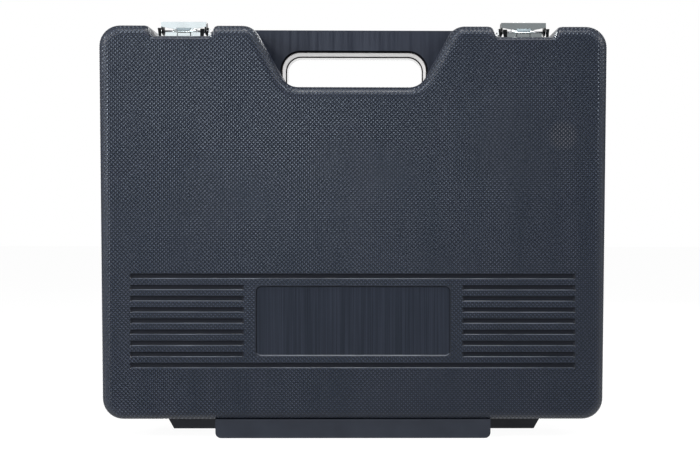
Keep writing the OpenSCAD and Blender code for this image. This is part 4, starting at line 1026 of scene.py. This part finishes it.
def for_eyes(nodes, links):
    """1 for rays from the camera, and for reflected and refracted rays."""
    rays = nodes.new("ShaderNodeLightPath")
    most = rays.outputs["Is Camera Ray"]
    for other in ("Is Glossy Ray", "Is Transmission Ray"):
        bigger = nodes.new("ShaderNodeMath")
        bigger.operation = "MAXIMUM"
        links.new(most, bigger.inputs[0])
        links.new(rays.outputs[other], bigger.inputs[1])
        most = bigger.outputs[0]
    return most


world = bpy.data.worlds.new("white_room")
bpy.context.scene.world = world
world.use_nodes = True
nodes, links = world.node_tree.nodes, world.node_tree.links
seen = for_eyes(nodes, links)
strength = nodes.new("ShaderNodeMapRange")
strength.inputs["To Min"].default_value, strength.inputs["To Max"].default_value = ROOM_LIGHT, 1.0
links.new(seen, strength.inputs["Value"])
nodes["Background"].inputs["Color"].default_value = (1, 1, 1, 1)
links.new(strength.outputs["Result"], nodes["Background"].inputs["Strength"])

# %% The floor
take_none()
bpy.ops.mesh.primitive_plane_add(size=12)
floor = bpy.context.object
floor.name = "floor"
floor_white = bpy.data.materials.new("floor_white")
floor_white.use_nodes = True
nodes, links = floor_white.node_tree.nodes, floor_white.node_tree.links
matt = nodes["Principled BSDF"]
matt.inputs["Base Color"].default_value = (0.8, 0.8, 0.8, 1)
matt.inputs["Roughness"].default_value = 0.9
matt.inputs["Specular IOR Level"].default_value = 0.0
glow = nodes.new("ShaderNodeEmission")
glow.inputs["Strength"].default_value = FLOOR_GLOW
mix = nodes.new("ShaderNodeMixShader")
share = nodes.new("ShaderNodeMapRange")
share.inputs["To Min"].default_value, share.inputs["To Max"].default_value = 0.0, FLOOR_SHARE
links.new(for_eyes(nodes, links), share.inputs["Value"])
links.new(share.outputs["Result"], mix.inputs["Fac"])
links.new(matt.outputs["BSDF"], mix.inputs[1])
links.new(glow.outputs["Emission"], mix.inputs[2])
links.new(mix.outputs["Shader"], nodes["Material Output"].inputs["Surface"])
floor.data.materials.append(floor_white)
print("floor and world are white to the camera")

# %% [markdown]
# ### Lamps
# A relief this fine shows only where light grazes it. So the main light comes from the upper left, with a
# weak fill on the right, one lamp from each side for the edges, soft lamps behind and above for the top and
# the back, and a small low one for the lower left edge. Round area lamps give soft edges to every highlight.

# %% Lamps
def lamp(name, place, aim, power, size):
    """A round area lamp at a place, aimed at a point, with its power in watts and its width in metres."""
    light = bpy.data.lights.new(name, "AREA")
    light.energy, light.shape, light.size = power, "DISK", size
    obj = bpy.data.objects.new(name, light)
    bpy.context.collection.objects.link(obj)
    obj.location = place
    direction = [a - p for a, p in zip(aim, place)]
    flat = math.hypot(direction[0], direction[1])
    obj.rotation_euler = (math.pi / 2 + math.atan2(direction[2], flat), 0,
                          math.atan2(direction[1], direction[0]) - math.pi / 2)


lamp("key_left", (-0.80, -1.25, 0.95), (-0.05, 0, 0.2), 11.5, 0.32)
lamp("fill_right", (0.80, -1.25, 0.95), (0.05, 0, 0.2), 2.8, 0.18)
lamp("side_left", (-1.25, -0.60, 0.72), (0.05, 0, 0.2), 12, 0.3)
lamp("rim_right", (1.2, -0.58, 0.80), (0.12, 0, 0.17), 9, 0.36)
lamp("back_soft", (0.75, 1.35, 0.95), (0, 0, 0.18), 12, 0.5)
lamp("top_soft", (0.0, -0.35, 1.35), (0, 0, 0.3), 11, 0.5)
lamp("low_left", (-0.75, -0.75, 0.06), (-0.12, 0, 0.02), 3, 0.3)

# %% [markdown]
# ### Cards and strips
# Polished metal in an all-white room has no outline, and smooth plastic turns milky. Black cards, as in a
# studio, give rounded edges dark lines and keep the plastic deep. Two small pale strips give the front of
# each latch its bright face. They all show in reflections only, and take no light from the object.

# %% What a reflection alone can see
def reflector(name, place, turn, size, material):
    take_none()
    bpy.ops.mesh.primitive_plane_add(size=1, location=place, rotation=[math.radians(a) for a in turn])
    card = bpy.context.object
    card.scale = (*size, 1)
    card.name = name
    card.data.materials.append(material)
    card.visible_camera = card.visible_diffuse = card.visible_shadow = False


# %% Black cards
card_black = bpy.data.materials.new("card_black")
card_black.use_nodes = True
shader = card_black.node_tree.nodes["Principled BSDF"]
shader.inputs["Base Color"].default_value = (0.004, 0.004, 0.004, 1)
shader.inputs["Specular IOR Level"].default_value = 0.0
for name, place, turn, size in (("card_left", (-0.85, 0.6, 0.35), (90, 0, 0), (1.1, 1.0)),
                                ("card_right", (0.85, 0.6, 0.35), (90, 0, 0), (1.1, 1.0)),
                                ("card_top", (0, 0.35, 1.1), (0, 0, 0), (1.6, 0.5)),
                                ("card_front", (0, -2.6, 0.9), (90, 0, 0), (7.0, 4.0))):
    reflector(name, place, turn, size, card_black)

# %% Two small pale strips, for the bright face of each latch
for name, x, strength in (("strip_left", -0.38, 1.08), ("strip_right", 0.34, 0.26)):
    strip_white = bpy.data.materials.new(name)
    strip_white.use_nodes = True
    shader = strip_white.node_tree.nodes["Principled BSDF"]
    shader.inputs["Base Color"].default_value = (0, 0, 0, 1)
    shader.inputs["Emission Color"].default_value = (0.93, 0.98, 1.0, 1)
    shader.inputs["Emission Strength"].default_value = strength
    reflector(name, (x, -2.5, 0.56), (90, 0, 0), (0.32, 0.20), strip_white)
print("cards and strips stand in front of, behind and above the case")

# %% [markdown]
# ## Camera
# A long lens from about one and a half metres looks nearly straight at the lid, a touch from its right, so the
# notch shows the hand slot and the base behind it. Turning the camera would centre the case too, but would
# make its sides converge, so a small shift of the lens does the last of the framing.

# %% Camera
camera = bpy.data.cameras.new("camera")
eye = bpy.data.objects.new("camera", camera)
bpy.context.collection.objects.link(eye)
bpy.context.scene.camera = eye
eye.location = (0.0207, -1.4733, 0.1868)
eye.rotation_euler = (math.radians(90 - 0.71), math.radians(-0.09), math.radians(-1.0))
camera.sensor_width, camera.lens = 36, 93.9
camera.shift_x, camera.shift_y = -0.088, -0.0136
bpy.context.scene.view_settings.view_transform = "Standard"
print("camera:", camera.lens, "mm lens")
